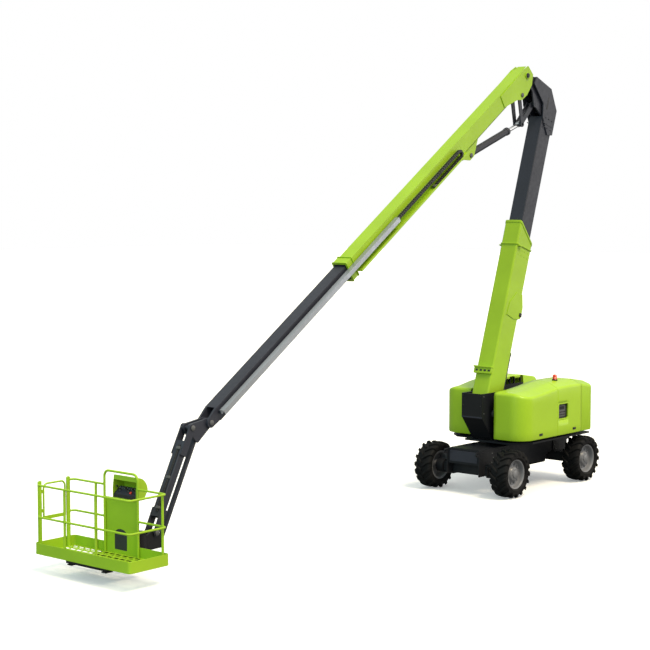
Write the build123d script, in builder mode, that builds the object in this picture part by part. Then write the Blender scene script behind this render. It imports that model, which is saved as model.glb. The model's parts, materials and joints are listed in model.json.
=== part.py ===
"""Self-propelled articulated boom lift with a two-stage lower boom, a telescoping main boom and a jib.

Millimetres, +X towards the platform, +Y to the machine's left, +Z up.
Working coordinates start at the slew axis on the ground; save() moves each piece to the machine's
middle.
"""
import os
from math import atan2, cos, degrees, hypot, radians, sin

from build123d import *

os.makedirs("parts", exist_ok=True)

# Running gear
wheelbase = 2920.0
overall_width = 2490.0
tyre_radius = 530.0
tyre_width = 440.0
bead_radius = 305.0
chassis_length = 3540.0
chassis_half_width = 420.0
chassis_top = 1000.0
kingpin_y = 620.0
steer_arm = 220.0

# Turntable
deck_bottom = 1100.0
deck_top = 1180.0
hood_front = 1220.0
right_front = 920.0
hood_rear = -1170.0
hood_inner = 425.0
hood_outer = 1220.0
hood_bottom = 1200.0
hood_top = 2400.0
hood_nose_drop = 150.0
shoulder = 300.0
shoulder_drop = 105.0
hood_wall = 12.0
tail_end = -1740.0
cheek_inner = 240.0
cheek_outer = 275.0
tower_front = 1470.0
tower_top = 2220.0
tower_fold_z = 1690.0

# Lower boom
foot_x = 1000.0
foot_z = 1750.0
lower_angle = 108.5
lower_width = 440.0
lower_depth = 600.0
lower_heel = 250.0
lower_front_end = 4450.0
lower_rear_end = 4060.0
lower_wall = 12.0
inner_width = 370.0
inner_depth = 450.0
inner_tail = 2150.0
inner_end = 7000.0
lift_base_x = 620.0
lift_base_z = 1280.0
lift_lug_along = 2380.0
lift_lug_back = 480.0

# Elbow, seen along and ahead of the lower boom
elbow_pin_along = 7630.0
elbow_pin_ahead = 1130.0
elbow_link_along = 7170.0
elbow_link_ahead = 540.0

# Main boom
main_angle = -34.0
base_half_width = 160.0
base_top = 175.0
base_bottom = -220.0
base_end = 7600.0
base_wall = 10.0
fly_half_width = 140.0
fly_top = 130.0
fly_bottom = -175.0
fly_tail = 5000.0
fly_end = 12050.0
idler_along = 410.0
idler_up = -267.0
ram_along = 2750.0
ram_up = -380.0
eye_back = 2085.0
eye_drop = 498.0
tip_along = 12300.0
tip_up = -20.0
tube_inner = 187.0
tube_outer = 293.0
tube_mid = 20.0
tube_depth = 96.0
tube_tail = 5800.0

# Jib
jib_x = 10300.0
jib_z = 2400.0
jib_angle = -63.0
jib_length = 1986.0
jib_half_width = 95.0
jib_half_depth = 75.0
link_back = 160.0
link_drop = 245.0

# Platform
platform_front = 12850.0
platform_rear = 11940.0
platform_half = 1220.0
platform_floor_z = 340.0
toe_height = 200.0
mid_rail_z = 990.0
top_rail_z = 1550.0
rail_r = 19.0
rotator_x = 11500.0
gate_hinge_x = 12680.0
gate_latch_x = 12170.0

# Clearances
fit = 0.05
seat = 0.3

# Worked out from the sizes above
axle_x = wheelbase / 2
wheel_y = overall_width / 2 - tyre_width / 2
rear_end = -axle_x - tyre_radius
middle_x = (platform_front + rear_end) / 2
lower_a = radians(lower_angle)
main_a = radians(main_angle)
jib_a = radians(jib_angle)


def on_lower(along, ahead):
    """Point of the lower boom's side view, along it and ahead of it."""
    x = foot_x + along * cos(lower_a) + ahead * sin(lower_a)
    z = foot_z + along * sin(lower_a) - ahead * cos(lower_a)
    return x, z


elbow_x, elbow_z = on_lower(elbow_pin_along, elbow_pin_ahead)


def on_main(along, up):
    """Point of the main boom's side view, along it from the elbow pin and above its pin line."""
    x = elbow_x + along * cos(main_a) - up * sin(main_a)
    z = elbow_z + along * sin(main_a) + up * cos(main_a)
    return x, z


tip_x, tip_z = on_main(tip_along, tip_up)
jib_end_x = jib_x + jib_length * cos(jib_a)
jib_end_z = jib_z + jib_length * sin(jib_a)


def side(x, z, angle=0.0, y=0.0):
    """Side-view plane: local x along the angle, local y above it, facing -Y."""
    a = radians(angle)
    return Plane(origin=(x, y, z), x_dir=(cos(a), 0, sin(a)), z_dir=(0, -1, 0))


def pair(x, z, angle, inner, outer):
    """The two side-view planes of a mirrored pair of plates lying between inner and outer."""
    return side(x, z, angle, outer), side(x, z, angle, -inner)


def across(x, z, angle):
    """Plane across a boom: local x to the left, local y above the boom, facing along it."""
    a = radians(angle)
    return Plane(origin=(x, 0, z), x_dir=(0, 1, 0), z_dir=(cos(a), 0, sin(a)))


def save(piece, name):
    """Labels a finished piece, moves it to the machine's middle and writes it."""
    placed = piece.moved(Location((-middle_x, 0, 0)))
    placed.label = name
    export_step(placed, f"parts/{name}.step")


# Wheels: a tyre and a dished rim, made once on the Y axis and set at each corner
with BuildPart() as tyre:
    with BuildSketch(Plane.XY):
        Polygon(
            (bead_radius, -140),
            (bead_radius + 125, -tyre_width / 2),
            (tyre_radius, -tyre_width / 2 + 62),
            (tyre_radius, tyre_width / 2 - 62),
            (bead_radius + 125, tyre_width / 2),
            (bead_radius, 140),
            align=None,
        )
    revolve(axis=Axis.Y)

with BuildPart() as rim:
    with BuildSketch(Plane.XY):
        Polygon(
            (60 + fit, -120),
            (100, -120),
            (100, 50),
            (278, 50),
            (278, -150),
            (bead_radius + 20, -167),
            (bead_radius + 20, -155),
            (bead_radius - seat, -146),
            (bead_radius - seat, 146),
            (bead_radius + 20, 155),
            (bead_radius + 20, 167),
            (286, 158),
            (262, 76),
            (150, 76),
            (130, 150),
            (0, 158),
            (0, 45),
            (60 + fit, 45),
            align=None,
        )
    revolve(axis=Axis.Y)

corners = {
    "front_left": (axle_x, 1),
    "front_right": (axle_x, -1),
    "rear_left": (-axle_x, 1),
    "rear_right": (-axle_x, -1),
}
for corner, (wheel_x, hand) in corners.items():
    turn = 0 if hand > 0 else 180
    spot = Location((wheel_x, hand * wheel_y, tyre_radius), (0, 0, turn))
    save(tyre.part.moved(spot), f"tyre_{corner}")
    save(rim.part.moved(spot), f"rim_{corner}")

# Chassis: a ribbed box open below, deep amidships, with end plates and tie-down lugs
half_length = chassis_length / 2
frame_floor = 665.0
belly_floor = 450.0
belly_end = 880.0
plate = 22.0
lug_r = 26.0
lug_out = 95.0
lug_z = chassis_top - 70
ear_r = 54.0
end_plate_y = chassis_half_width + 20

with BuildPart() as chassis:
    with BuildSketch(side(0, 0)):
        Polygon(
            (-half_length, frame_floor),
            (-belly_end - 120, frame_floor),
            (-belly_end, belly_floor),
            (belly_end, belly_floor),
            (belly_end + 120, frame_floor),
            (half_length, frame_floor),
            (half_length, chassis_top),
            (-half_length, chassis_top),
            align=None,
        )
    extrude(amount=chassis_half_width, both=True)
    with BuildSketch(side(0, 0)):
        Polygon(
            (-half_length + plate, belly_floor - 10),
            (half_length - plate, belly_floor - 10),
            (half_length - plate, chassis_top - plate),
            (-half_length + plate, chassis_top - plate),
            align=None,
        )
    extrude(amount=chassis_half_width - plate, both=True, mode=Mode.SUBTRACT)
    with BuildSketch(Plane.XY.offset(frame_floor)):
        with Locations((-belly_end, 0), (0, 0), (belly_end, 0)):
            Rectangle(plate, 2 * chassis_half_width)
    extrude(amount=chassis_top - frame_floor)
    with BuildSketch(*pair(0, 0, 0, chassis_half_width, end_plate_y)):
        for end in (-1, 1):
            Polygon(
                (end * (half_length - 560), chassis_top - 40),
                (end * (half_length - 560), frame_floor + 30),
                (end * (half_length - 170), 420),
                (end * (half_length + 30), 420),
                (end * (half_length + 30), chassis_top - 60),
                (end * half_length, chassis_top - 40),
                align=None,
            )
        with Locations((half_length + lug_out, lug_z), (-half_length - lug_out, lug_z)):
            Circle(ear_r)
        with Locations((half_length, lug_z), (-half_length, lug_z)):
            Rectangle(2 * lug_out, 2 * ear_r)
        with Locations((half_length + lug_out, lug_z), (-half_length - lug_out, lug_z)):
            Circle(lug_r, mode=Mode.SUBTRACT)
        with Locations((axle_x, 530), (-axle_x, 530)):
            Rectangle(230, 230, mode=Mode.SUBTRACT)
    extrude(amount=end_plate_y - chassis_half_width)
    with BuildSketch(Plane.XY.offset(chassis_top)):
        Circle(520)
        Circle(430, mode=Mode.SUBTRACT)
    extrude(amount=40)
save(chassis.part, "chassis_frame")

# Axles: a box beam through the end plates, steered forks in front, fixed hubs behind
beam = 222.0
fork_x = 75.0
king_r = 45.0

with BuildPart() as front_axle:
    with BuildSketch(side(axle_x, 530)):
        Rectangle(beam, beam)
    extrude(amount=kingpin_y - 125, both=True)
    with BuildSketch(side(axle_x, 0)):
        with Locations((0, 653)):
            Rectangle(2 * fork_x, 24)
    extrude(amount=chassis_half_width, both=True)
    for level in (381, 641):
        with BuildSketch(Plane.XY.offset(level)):
            for hand in (-1, 1):
                with Locations((axle_x, hand * (kingpin_y + end_plate_y + 2) / 2)):
                    Rectangle(2 * fork_x, kingpin_y - end_plate_y - 2)
                with Locations((axle_x, hand * kingpin_y)):
                    Circle(fork_x)
            for hand in (-1, 1):
                with Locations((axle_x, hand * kingpin_y)):
                    Circle(king_r + fit, mode=Mode.SUBTRACT)
        extrude(amount=38)
save(front_axle.part, "front_axle")

with BuildPart() as rear_axle:
    with BuildSketch(side(-axle_x, 530)):
        Rectangle(beam, beam)
    extrude(amount=wheel_y - 340, both=True)
    with BuildSketch(side(-axle_x, 0)):
        with Locations((0, 653)):
            Rectangle(2 * fork_x, 24)
    extrude(amount=chassis_half_width, both=True)
    with BuildSketch(*pair(-axle_x, tyre_radius, 0, wheel_y - 340, wheel_y - 130)):
        Circle(150)
    extrude(amount=210)
    with BuildSketch(side(-axle_x, tyre_radius)):
        Circle(60)
    extrude(amount=wheel_y + 35, both=True)
save(rear_axle.part, "rear_axle")

# Steering knuckles with their kingpins, hub motors, spindles and steering arms
for corner, hand in (("left", 1), ("right", -1)):
    with BuildPart() as knuckle:
        with BuildSketch(Plane.XY.offset(424)):
            with Locations((axle_x, hand * kingpin_y)):
                Circle(fork_x)
            with Locations((axle_x, hand * (kingpin_y + 45))):
                Rectangle(2 * fork_x, 90)
        extrude(amount=212)
        with BuildSketch(Plane.XY.offset(381)):
            with Locations((axle_x, hand * kingpin_y)):
                Circle(king_r)
        extrude(amount=310)
        with BuildSketch(side(axle_x, tyre_radius, 0, hand * (kingpin_y + 85))):
            Circle(150)
        extrude(amount=-hand * (wheel_y - 130 - kingpin_y - 85))
        with BuildSketch(side(axle_x, tyre_radius, 0, hand * (wheel_y - 131))):
            Circle(60)
        extrude(amount=-hand * 166)
        with BuildSketch(Plane.XY.offset(470)):
            with Locations((axle_x - steer_arm / 2, hand * kingpin_y)):
                Rectangle(steer_arm, 70)
            with Locations((axle_x - steer_arm, hand * kingpin_y)):
                Circle(42)
        extrude(amount=28)
    save(knuckle.part, f"knuckle_{corner}")

# Steering ram behind the front axle
ram_x = axle_x - steer_arm
ram_z = 530.0
with BuildPart() as steer_barrel:
    with BuildSketch(side(ram_x, ram_z)):
        Circle(48)
        Circle(24 + fit, mode=Mode.SUBTRACT)
    extrude(amount=270, both=True)
    with BuildSketch(Plane.XY.offset(ram_z - 25)):
        with Locations((ram_x + 76, -180), (ram_x + 76, 180)):
            Rectangle(66, 50)
    extrude(amount=50)
save(steer_barrel.part, "steer_barrel")

with BuildPart() as steer_rod:
    with BuildSketch(side(ram_x, ram_z)):
        Circle(24)
    extrude(amount=kingpin_y - 60, both=True)
    with BuildSketch(Plane.XY.offset(ram_z - 24)):
        with Locations((ram_x, kingpin_y), (ram_x, -kingpin_y)):
            Circle(40)
        with Locations((ram_x, kingpin_y - 50), (ram_x, 50 - kingpin_y)):
            Rectangle(40, 60)
    extrude(amount=48)
save(steer_rod.part, "steer_rod")

# Slew ring and turntable frame
with BuildPart() as slew_ring:
    with BuildSketch(Plane.XY.offset(chassis_top + 40 + seat)):
        Circle(500)
        Circle(400, mode=Mode.SUBTRACT)
    extrude(amount=deck_bottom - chassis_top - 40 - seat)
save(slew_ring.part, "slew_ring")

hinge_starts = (hood_rear + 120, hood_rear + 560)
hinge_run = 240.0
hinge_z = hood_top - 40
with BuildPart() as turntable:
    with BuildSketch(Plane.XY.offset(deck_bottom)):
        Polygon(
            (tail_end + 60, 100 - hood_outer),
            (right_front - 320, 100 - hood_outer),
            (right_front - 90, 360 - hood_outer),
            (right_front - 90, -hood_inner),
            (hood_front - 90, -hood_inner),
            (hood_front - 90, hood_outer - 460),
            (hood_front - 520, hood_outer - 100),
            (tail_end + 60, hood_outer - 100),
            align=None,
        )
    extrude(amount=40)
    with BuildSketch(*pair(0, 0, 0, cheek_inner, cheek_outer)):
        Polygon(
            (tail_end + 100, deck_bottom + 20),
            (foot_x, deck_bottom + 20),
            (foot_x + 10, deck_bottom + 40),
            (tower_front - 20, tower_fold_z),
            (tower_front - 20, tower_top),
            (780, tower_top),
            (420, 1310),
            (tail_end + 100, 1310),
            align=None,
        )
    extrude(amount=cheek_outer - cheek_inner)
    for front, y in ((hood_front, hood_inner - 20), (right_front, 40 - hood_inner)):
        with BuildSketch(side(0, 0, 0, y)):
            Polygon(
                (hood_rear, deck_bottom + 20),
                (front - 130, deck_bottom + 20),
                (front - 130, hood_top - 390),
                (hood_rear + 900, hood_top - 170),
                (hood_rear, hood_top - 170),
                align=None,
            )
        extrude(amount=20)
    for start in hinge_starts:
        for stop in (start - 20, start + hinge_run):
            with BuildSketch(Plane.YZ.offset(stop)):
                for hand in (-1, 1):
                    with Locations((hand * (hood_inner - 20), hood_top - 105)):
                        Rectangle(36, 170)
            extrude(amount=20)
        with BuildSketch(Plane.YZ.offset(start - 20)):
            with Locations((hood_inner - 18, hinge_z), (18 - hood_inner, hinge_z)):
                Circle(9)
        extrude(amount=hinge_run + 40)
    with BuildSketch(side(foot_x, foot_z)):
        Circle(60)
    extrude(amount=cheek_outer + 20, both=True)
    with BuildSketch(*pair(lift_base_x, lift_base_z, 0, 75, 105)):
        Circle(85)
        Polygon(
            (-110, deck_bottom + 20 - lift_base_z),
            (110, deck_bottom + 20 - lift_base_z),
            (80, 30),
            (-80, 30),
            align=None,
        )
    extrude(amount=30)
    with BuildSketch(side(lift_base_x, lift_base_z)):
        Circle(45)
    extrude(amount=110, both=True)
save(turntable.part, "turntable_frame")

# Tower cover: a folded sheet over the front of the tower
with BuildPart() as tower_cover:
    with BuildSketch(side(0, 0)):
        Polygon(
            (tower_front, tower_top),
            (tower_front, tower_fold_z),
            (1050, deck_bottom + 60),
            (1026, deck_bottom + 60),
            (tower_front - 20, tower_fold_z),
            (tower_front - 20, tower_top),
            align=None,
        )
    extrude(amount=cheek_outer, both=True)
save(tower_cover.part, "tower_cover")

# Hoods: sheet covers with a falling nose, rounded outer front corner and sloped shoulder
nose_r = 400.0
step_rear = -500.0
step_mid = 50.0


def roof_cut(y, front, drop):
    """Side-view face above the roof line at one distance from the middle, lowered by the given drop."""
    top = hood_top - drop
    with BuildSketch(side(0, 0, 0, y)) as cut:
        with BuildLine():
            Line((hood_rear - 10, top), (step_rear, top))
            Bezier(
                (step_rear, top),
                (step_mid, top),
                (step_mid, top - 0.7 * hood_nose_drop),
                (front + 50, top - hood_nose_drop),
            )
            Line((front + 50, top - hood_nose_drop), (front + 50, hood_top + 80))
            Line((front + 50, hood_top + 80), (hood_rear - 10, hood_top + 80))
            Line((hood_rear - 10, hood_top + 80), (hood_rear - 10, top))
        make_face()
    return cut.sketch


def hood_form(front, inset):
    """Solid of a hood on the left side, drawn in from its outside by the given sheet thickness."""
    x_front = front - inset
    y_out = hood_outer - inset
    r = nose_r - inset
    past = shoulder_drop * (shoulder + 60) / shoulder
    crown = roof_cut(hood_outer - shoulder, front, inset)
    eave = roof_cut(hood_outer + 60, front, inset + past)
    with BuildPart() as form:
        with BuildSketch(Plane.XY.offset(hood_bottom)):
            with BuildLine():
                Line((hood_rear, hood_inner), (x_front, hood_inner))
                Line((x_front, hood_inner), (x_front, y_out - r))
                RadiusArc((x_front, y_out - r), (x_front - r, y_out), -r)
                Line((x_front - r, y_out), (hood_rear, y_out))
                Line((hood_rear, y_out), (hood_rear, hood_inner))
            make_face()
        extrude(amount=hood_top - hood_bottom)
        extrude(crown, amount=hood_outer, dir=(0, -1, 0), mode=Mode.SUBTRACT)
        loft([crown.face(), eave.face()], ruled=True, mode=Mode.SUBTRACT)
    return form.part


window_x = -395.0
window_z = 1745.0
window_w = 410.0
window_h = 350.0
for corner, hand, front in (("left", 1, hood_front), ("right", -1, right_front)):
    hood_outside = hood_form(front, 0)
    hood_inside = hood_form(front, hood_wall)
    with BuildPart() as hood:
        add(hood_outside)
        add(hood_inside, mode=Mode.SUBTRACT)
        for start in hinge_starts:
            with BuildSketch(Plane.YZ.offset(start + seat)):
                with Locations((hood_inner - 18, hinge_z)):
                    Circle(15)
                with Locations((hood_inner - 9, hinge_z + 18)):
                    Rectangle(48, 36)
                with Locations((hood_inner - 18, hinge_z)):
                    Circle(9 + fit, mode=Mode.SUBTRACT)
            extrude(amount=hinge_run - 2 * seat)
        if hand > 0:
            with BuildSketch(side(window_x, window_z, 0, hood_outer + 20)):
                Rectangle(window_w, window_h)
            extrude(amount=100, mode=Mode.SUBTRACT)
    shape = hood.part if hand > 0 else hood.part.mirror(Plane.XZ)
    save(shape, f"hood_{corner}")

# Counterweight closing the tail behind the hoods, with a trough and a slot for the stowed boom
tail_front = hood_rear - 6
tail_mid = (tail_front + tail_end) / 2
tail_drop = 90.0
trough_floor = 1330.0
slot_end = foot_x - lift_lug_along - 210
past = shoulder_drop * (shoulder + 60) / shoulder
with BuildPart() as counterweight:
    with BuildSketch(Plane.XY.offset(hood_bottom)):
        with Locations((tail_mid, 0)):
            Rectangle(tail_front - tail_end, 2 * hood_outer)
    extrude(amount=hood_top - hood_bottom)
    fillet(counterweight.edges().filter_by(Axis.Z).group_by(Axis.X)[0], 220)
    with BuildSketch(Plane.YZ.offset(tail_end - 10)):
        for hand in (-1, 1):
            Polygon(
                (hand * (hood_outer - shoulder), hood_top),
                (hand * (hood_outer + 60), hood_top - past),
                (hand * (hood_outer + 60), hood_top + 60),
                (hand * (hood_outer - shoulder), hood_top + 60),
                align=None,
            )
        Polygon(
            (-hood_inner + 20, hood_top + 10),
            (-330, trough_floor),
            (330, trough_floor),
            (hood_inner - 20, hood_top + 10),
            align=None,
        )
    extrude(amount=hood_rear - tail_end + 20, mode=Mode.SUBTRACT)
    with BuildSketch(side(0, 0)):
        Polygon(
            (tail_end - 10, hood_top - tail_drop - 2),
            (tail_front, hood_top),
            (tail_front, hood_top + 60),
            (tail_end - 10, hood_top + 60),
            align=None,
        )
    extrude(amount=hood_outer + 20, both=True, mode=Mode.SUBTRACT)
    with BuildSketch(Plane.XY.offset(deck_bottom + 40)):
        with Locations((tail_mid + 30, 0)):
            Rectangle(tail_front - tail_end - 60, 2 * cheek_inner - 10)
        with Locations((tail_mid + 30, 700), (tail_mid + 30, -700)):
            Rectangle(tail_front - tail_end - 60, 800)
    extrude(amount=hood_bottom - deck_bottom - 40)
    with BuildSketch(*pair(0, 0, 0, cheek_inner - 5, cheek_outer + 5)):
        with Locations(((hood_rear + tail_end) / 2, 1225)):
            Rectangle(700, 190)
    extrude(amount=cheek_outer - cheek_inner + 10, mode=Mode.SUBTRACT)
    with BuildSketch(Plane.XY.offset(deck_bottom + 30)):
        with Locations(((slot_end + hood_rear) / 2, 0)):
            Rectangle(hood_rear - slot_end, 220)
    extrude(amount=trough_floor - deck_bottom, mode=Mode.SUBTRACT)
save(counterweight.part, "counterweight")

# Engine and tank under the hoods, ground control station, beacon
with BuildPart() as engine:
    with BuildSketch(Plane.XY.offset(deck_bottom + 40)):
        with Locations((-250, -760)):
            Rectangle(1500, 520)
    extrude(amount=560)
    with BuildSketch(Plane.XY.offset(deck_bottom + 600)):
        with Locations((-250, -760)):
            Rectangle(1200, 380)
    extrude(amount=200)
    chamfer(engine.faces().sort_by(Axis.Z)[-1].edges(), 40)
save(engine.part, "engine")

with BuildPart() as tank:
    with BuildSketch(Plane.XY.offset(deck_bottom + 40)):
        with Locations((-620, 700)):
            RectangleRounded(900, 440, 70)
    extrude(amount=330)
save(tank.part, "hydraulic_tank")

tank_top = deck_bottom + 370
with BuildPart() as ground_control:
    with BuildSketch(side(window_x, window_z, 0, hood_outer - 45)):
        Rectangle(window_w - 10, window_h - 10)
    extrude(amount=120)
    with BuildSketch(side(window_x, 0)):
        with Locations((0, (window_z - 150 + tank_top) / 2)):
            Rectangle(120, window_z - 150 - tank_top)
    extrude(amount=-hood_outer + 80)
    with BuildSketch(Plane.XY.offset(tank_top)):
        with Locations((window_x, 400)):
            Rectangle(200, 800)
    extrude(amount=400, mode=Mode.SUBTRACT)
save(ground_control.part, "ground_control")

beacon_y = hood_outer - shoulder - 80
with BuildPart() as beacon:
    with BuildSketch(Plane.XY.offset(hood_top)):
        with Locations((-610, beacon_y)):
            Circle(65)
    extrude(amount=32)
    with BuildSketch(Plane.XY.offset(hood_top + 32)):
        with Locations((-610, beacon_y)):
            Circle(52)
    extrude(amount=110, taper=4)
    fillet(beacon.edges().sort_by(Axis.Z)[-1], 28)
save(beacon.part, "beacon")

# Lower boom: outer tube with a slanted mouth, wear pads, inner tube
lower_half = lower_width / 2
lower_h = lower_depth / 2
lower_bore = lower_width - 2 * lower_wall
with BuildPart() as lower_outer:
    with BuildSketch(across(foot_x, foot_z, lower_angle).offset(-lower_heel)):
        RectangleRounded(lower_width, lower_depth, 40)
        RectangleRounded(lower_bore, lower_bore + lower_depth - lower_width, 28, mode=Mode.SUBTRACT)
    extrude(amount=lower_front_end + lower_heel)
    with BuildSketch(side(foot_x, foot_z, lower_angle)):
        Polygon(
            (lower_front_end, -lower_h - 10),
            (lower_rear_end, lower_h + 10),
            (lower_front_end + 50, lower_h + 10),
            (lower_front_end + 50, -lower_h - 10),
            align=None,
        )
    extrude(amount=lower_half + 20, both=True, mode=Mode.SUBTRACT)
    with BuildSketch(side(foot_x, foot_z, lower_angle)):
        Circle(95)
    extrude(amount=lower_half + 12, both=True)
    with BuildSketch(*pair(foot_x, foot_z, lower_angle, 48, 80)):
        Polygon(
            (lift_lug_along - 70, lower_h - 5),
            (lift_lug_along + 185, lower_h - 5),
            (lift_lug_along + 66, lift_lug_back + 36),
            (lift_lug_along - 70, lift_lug_back + 20),
            align=None,
        )
        with Locations((lift_lug_along, lift_lug_back)):
            Circle(75)
    extrude(amount=32)
    with BuildSketch(*pair(foot_x, foot_z, lower_angle, lower_half - 4, lower_half + 14)):
        Polygon(
            (lift_lug_along - 120, -180),
            (lift_lug_along - 150, 120),
            (lift_lug_along - 90, lower_h + 62),
            (lift_lug_along - 20, lower_h + 88),
            (lift_lug_along + 180, lower_h + 88),
            (lift_lug_along + 470, lower_h - 24),
            (lift_lug_along + 470, 60),
            (lift_lug_along + 180, -150),
            align=None,
        )
    extrude(amount=18)
    with BuildSketch(side(foot_x, foot_z, lower_angle)):
        Circle(60 + fit)
    extrude(amount=lower_half + 20, both=True, mode=Mode.SUBTRACT)
save(lower_outer.part, "lower_boom_outer")

with BuildPart() as lower_pads:
    with BuildSketch(across(foot_x, foot_z, lower_angle).offset(lower_rear_end - 330)):
        Rectangle(lower_width - 2 * lower_wall - 80, lower_depth - 2 * lower_wall)
        Rectangle(lower_width - 2 * lower_wall, lower_depth - 2 * lower_wall - 80)
        Rectangle(inner_width + 2 * seat, inner_depth + 2 * seat, mode=Mode.SUBTRACT)
    extrude(amount=240)
save(lower_pads.part, "lower_wear_pads")

with BuildPart() as lower_inner:
    with BuildSketch(across(foot_x, foot_z, lower_angle).offset(inner_tail)):
        RectangleRounded(inner_width, inner_depth, 24)
        RectangleRounded(inner_width - 20, inner_depth - 20, 14, mode=Mode.SUBTRACT)
    extrude(amount=inner_end - inner_tail)
save(lower_inner.part, "lower_boom_inner")

# Elbow: cheeks and back plate round the inner tube, lugs out to the main boom's pin
cheek = inner_width / 2
with BuildPart() as elbow:
    with BuildSketch(*pair(foot_x, foot_z, lower_angle, cheek, cheek + 30)):
        Polygon(
            (elbow_pin_along - 930, inner_depth / 2 + 30),
            (elbow_pin_along - 330, inner_depth / 2 + 30),
            (elbow_pin_along + 70, -120),
            (elbow_pin_along + 110, -elbow_pin_ahead + 350),
            (elbow_pin_along - 70, -elbow_pin_ahead + 300),
            (elbow_pin_along - 360, -330),
            (elbow_pin_along - 670, -inner_depth / 2 - 20),
            (elbow_pin_along - 990, 60),
            align=None,
        )
    extrude(amount=30)
    with BuildSketch(side(foot_x, foot_z, lower_angle)):
        Polygon(
            (elbow_pin_along - 930, inner_depth / 2),
            (elbow_pin_along - 340, inner_depth / 2),
            (elbow_pin_along + 42, -120),
            (elbow_pin_along + 82, -elbow_pin_ahead + 350),
            (elbow_pin_along + 110, -elbow_pin_ahead + 350),
            (elbow_pin_along + 70, -120),
            (elbow_pin_along - 330, inner_depth / 2 + 30),
            (elbow_pin_along - 930, inner_depth / 2 + 30),
            align=None,
        )
    extrude(amount=cheek + 5, both=True)
    with BuildSketch(*pair(foot_x, foot_z, lower_angle, 118, 150)):
        Polygon(
            (elbow_pin_along - 620, -inner_depth / 2 - 5),
            (elbow_pin_along - 620, 100),
            (elbow_pin_along - 150, 60),
            (elbow_pin_along + 60, -150),
            (elbow_pin_along + 95, -elbow_pin_ahead + 350),
            (elbow_pin_along + 95, -elbow_pin_ahead),
            (elbow_pin_along - 70, -elbow_pin_ahead),
            (elbow_pin_along - 230, -elbow_pin_ahead + 370),
            (elbow_link_along - 30, -elbow_link_ahead - 60),
            align=None,
        )
        with Locations((elbow_pin_along, -elbow_pin_ahead)):
            Circle(105)
        with Locations((elbow_link_along, -elbow_link_ahead)):
            Circle(75)
    extrude(amount=32)
    with BuildSketch(side(foot_x, foot_z, lower_angle)):
        with Locations((elbow_pin_along - 480, -20)):
            Rectangle(60, 280)
    extrude(amount=cheek + 5, both=True)
    with BuildSketch(side(elbow_x, elbow_z)):
        Circle(55)
    extrude(amount=base_half_width + 60, both=True)
    with BuildSketch(side(*on_lower(elbow_link_along, elbow_link_ahead))):
        Circle(35)
    extrude(amount=155, both=True)
save(elbow.part, "elbow")

# Lower lift ram between the turntable and the back of the lower boom
lug_x, lug_zz = on_lower(lift_lug_along, -lift_lug_back)
lift_dx = lug_x - lift_base_x
lift_dz = lug_zz - lift_base_z
lift_length = hypot(lift_dx, lift_dz)
lift_angle = degrees(atan2(lift_dz, lift_dx))
lift_barrel_end = 1840.0
lift_rod_start = 1500.0

with BuildPart() as lift_barrel:
    with BuildSketch(across(lift_base_x, lift_base_z, lift_angle).offset(60)):
        Circle(75)
    extrude(amount=lift_barrel_end - 60)
    with BuildSketch(side(lift_base_x, lift_base_z)):
        Circle(82)
    extrude(amount=68, both=True)
    with BuildSketch(across(lift_base_x, lift_base_z, lift_angle).offset(120)):
        Circle(45 + fit)
    extrude(amount=lift_barrel_end, mode=Mode.SUBTRACT)
    with BuildSketch(side(lift_base_x, lift_base_z)):
        Circle(45 + fit)
    extrude(amount=100, both=True, mode=Mode.SUBTRACT)
save(lift_barrel.part, "lower_lift_barrel")

with BuildPart() as lift_rod:
    with BuildSketch(across(lift_base_x, lift_base_z, lift_angle).offset(lift_rod_start)):
        Circle(45)
    extrude(amount=lift_length - lift_rod_start - 44)
    with BuildSketch(side(lug_x, lug_zz)):
        Circle(55)
        Circle(30, mode=Mode.SUBTRACT)
    extrude(amount=40, both=True)
save(lift_rod.part, "lower_lift_rod")

# Main boom base: folded tube with a deep tail, ram bracket and mouth collar
collar = 190.0
tube_start = 520.0
base_mid = (base_top + base_bottom) / 2
base_depth = base_top - base_bottom

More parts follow.
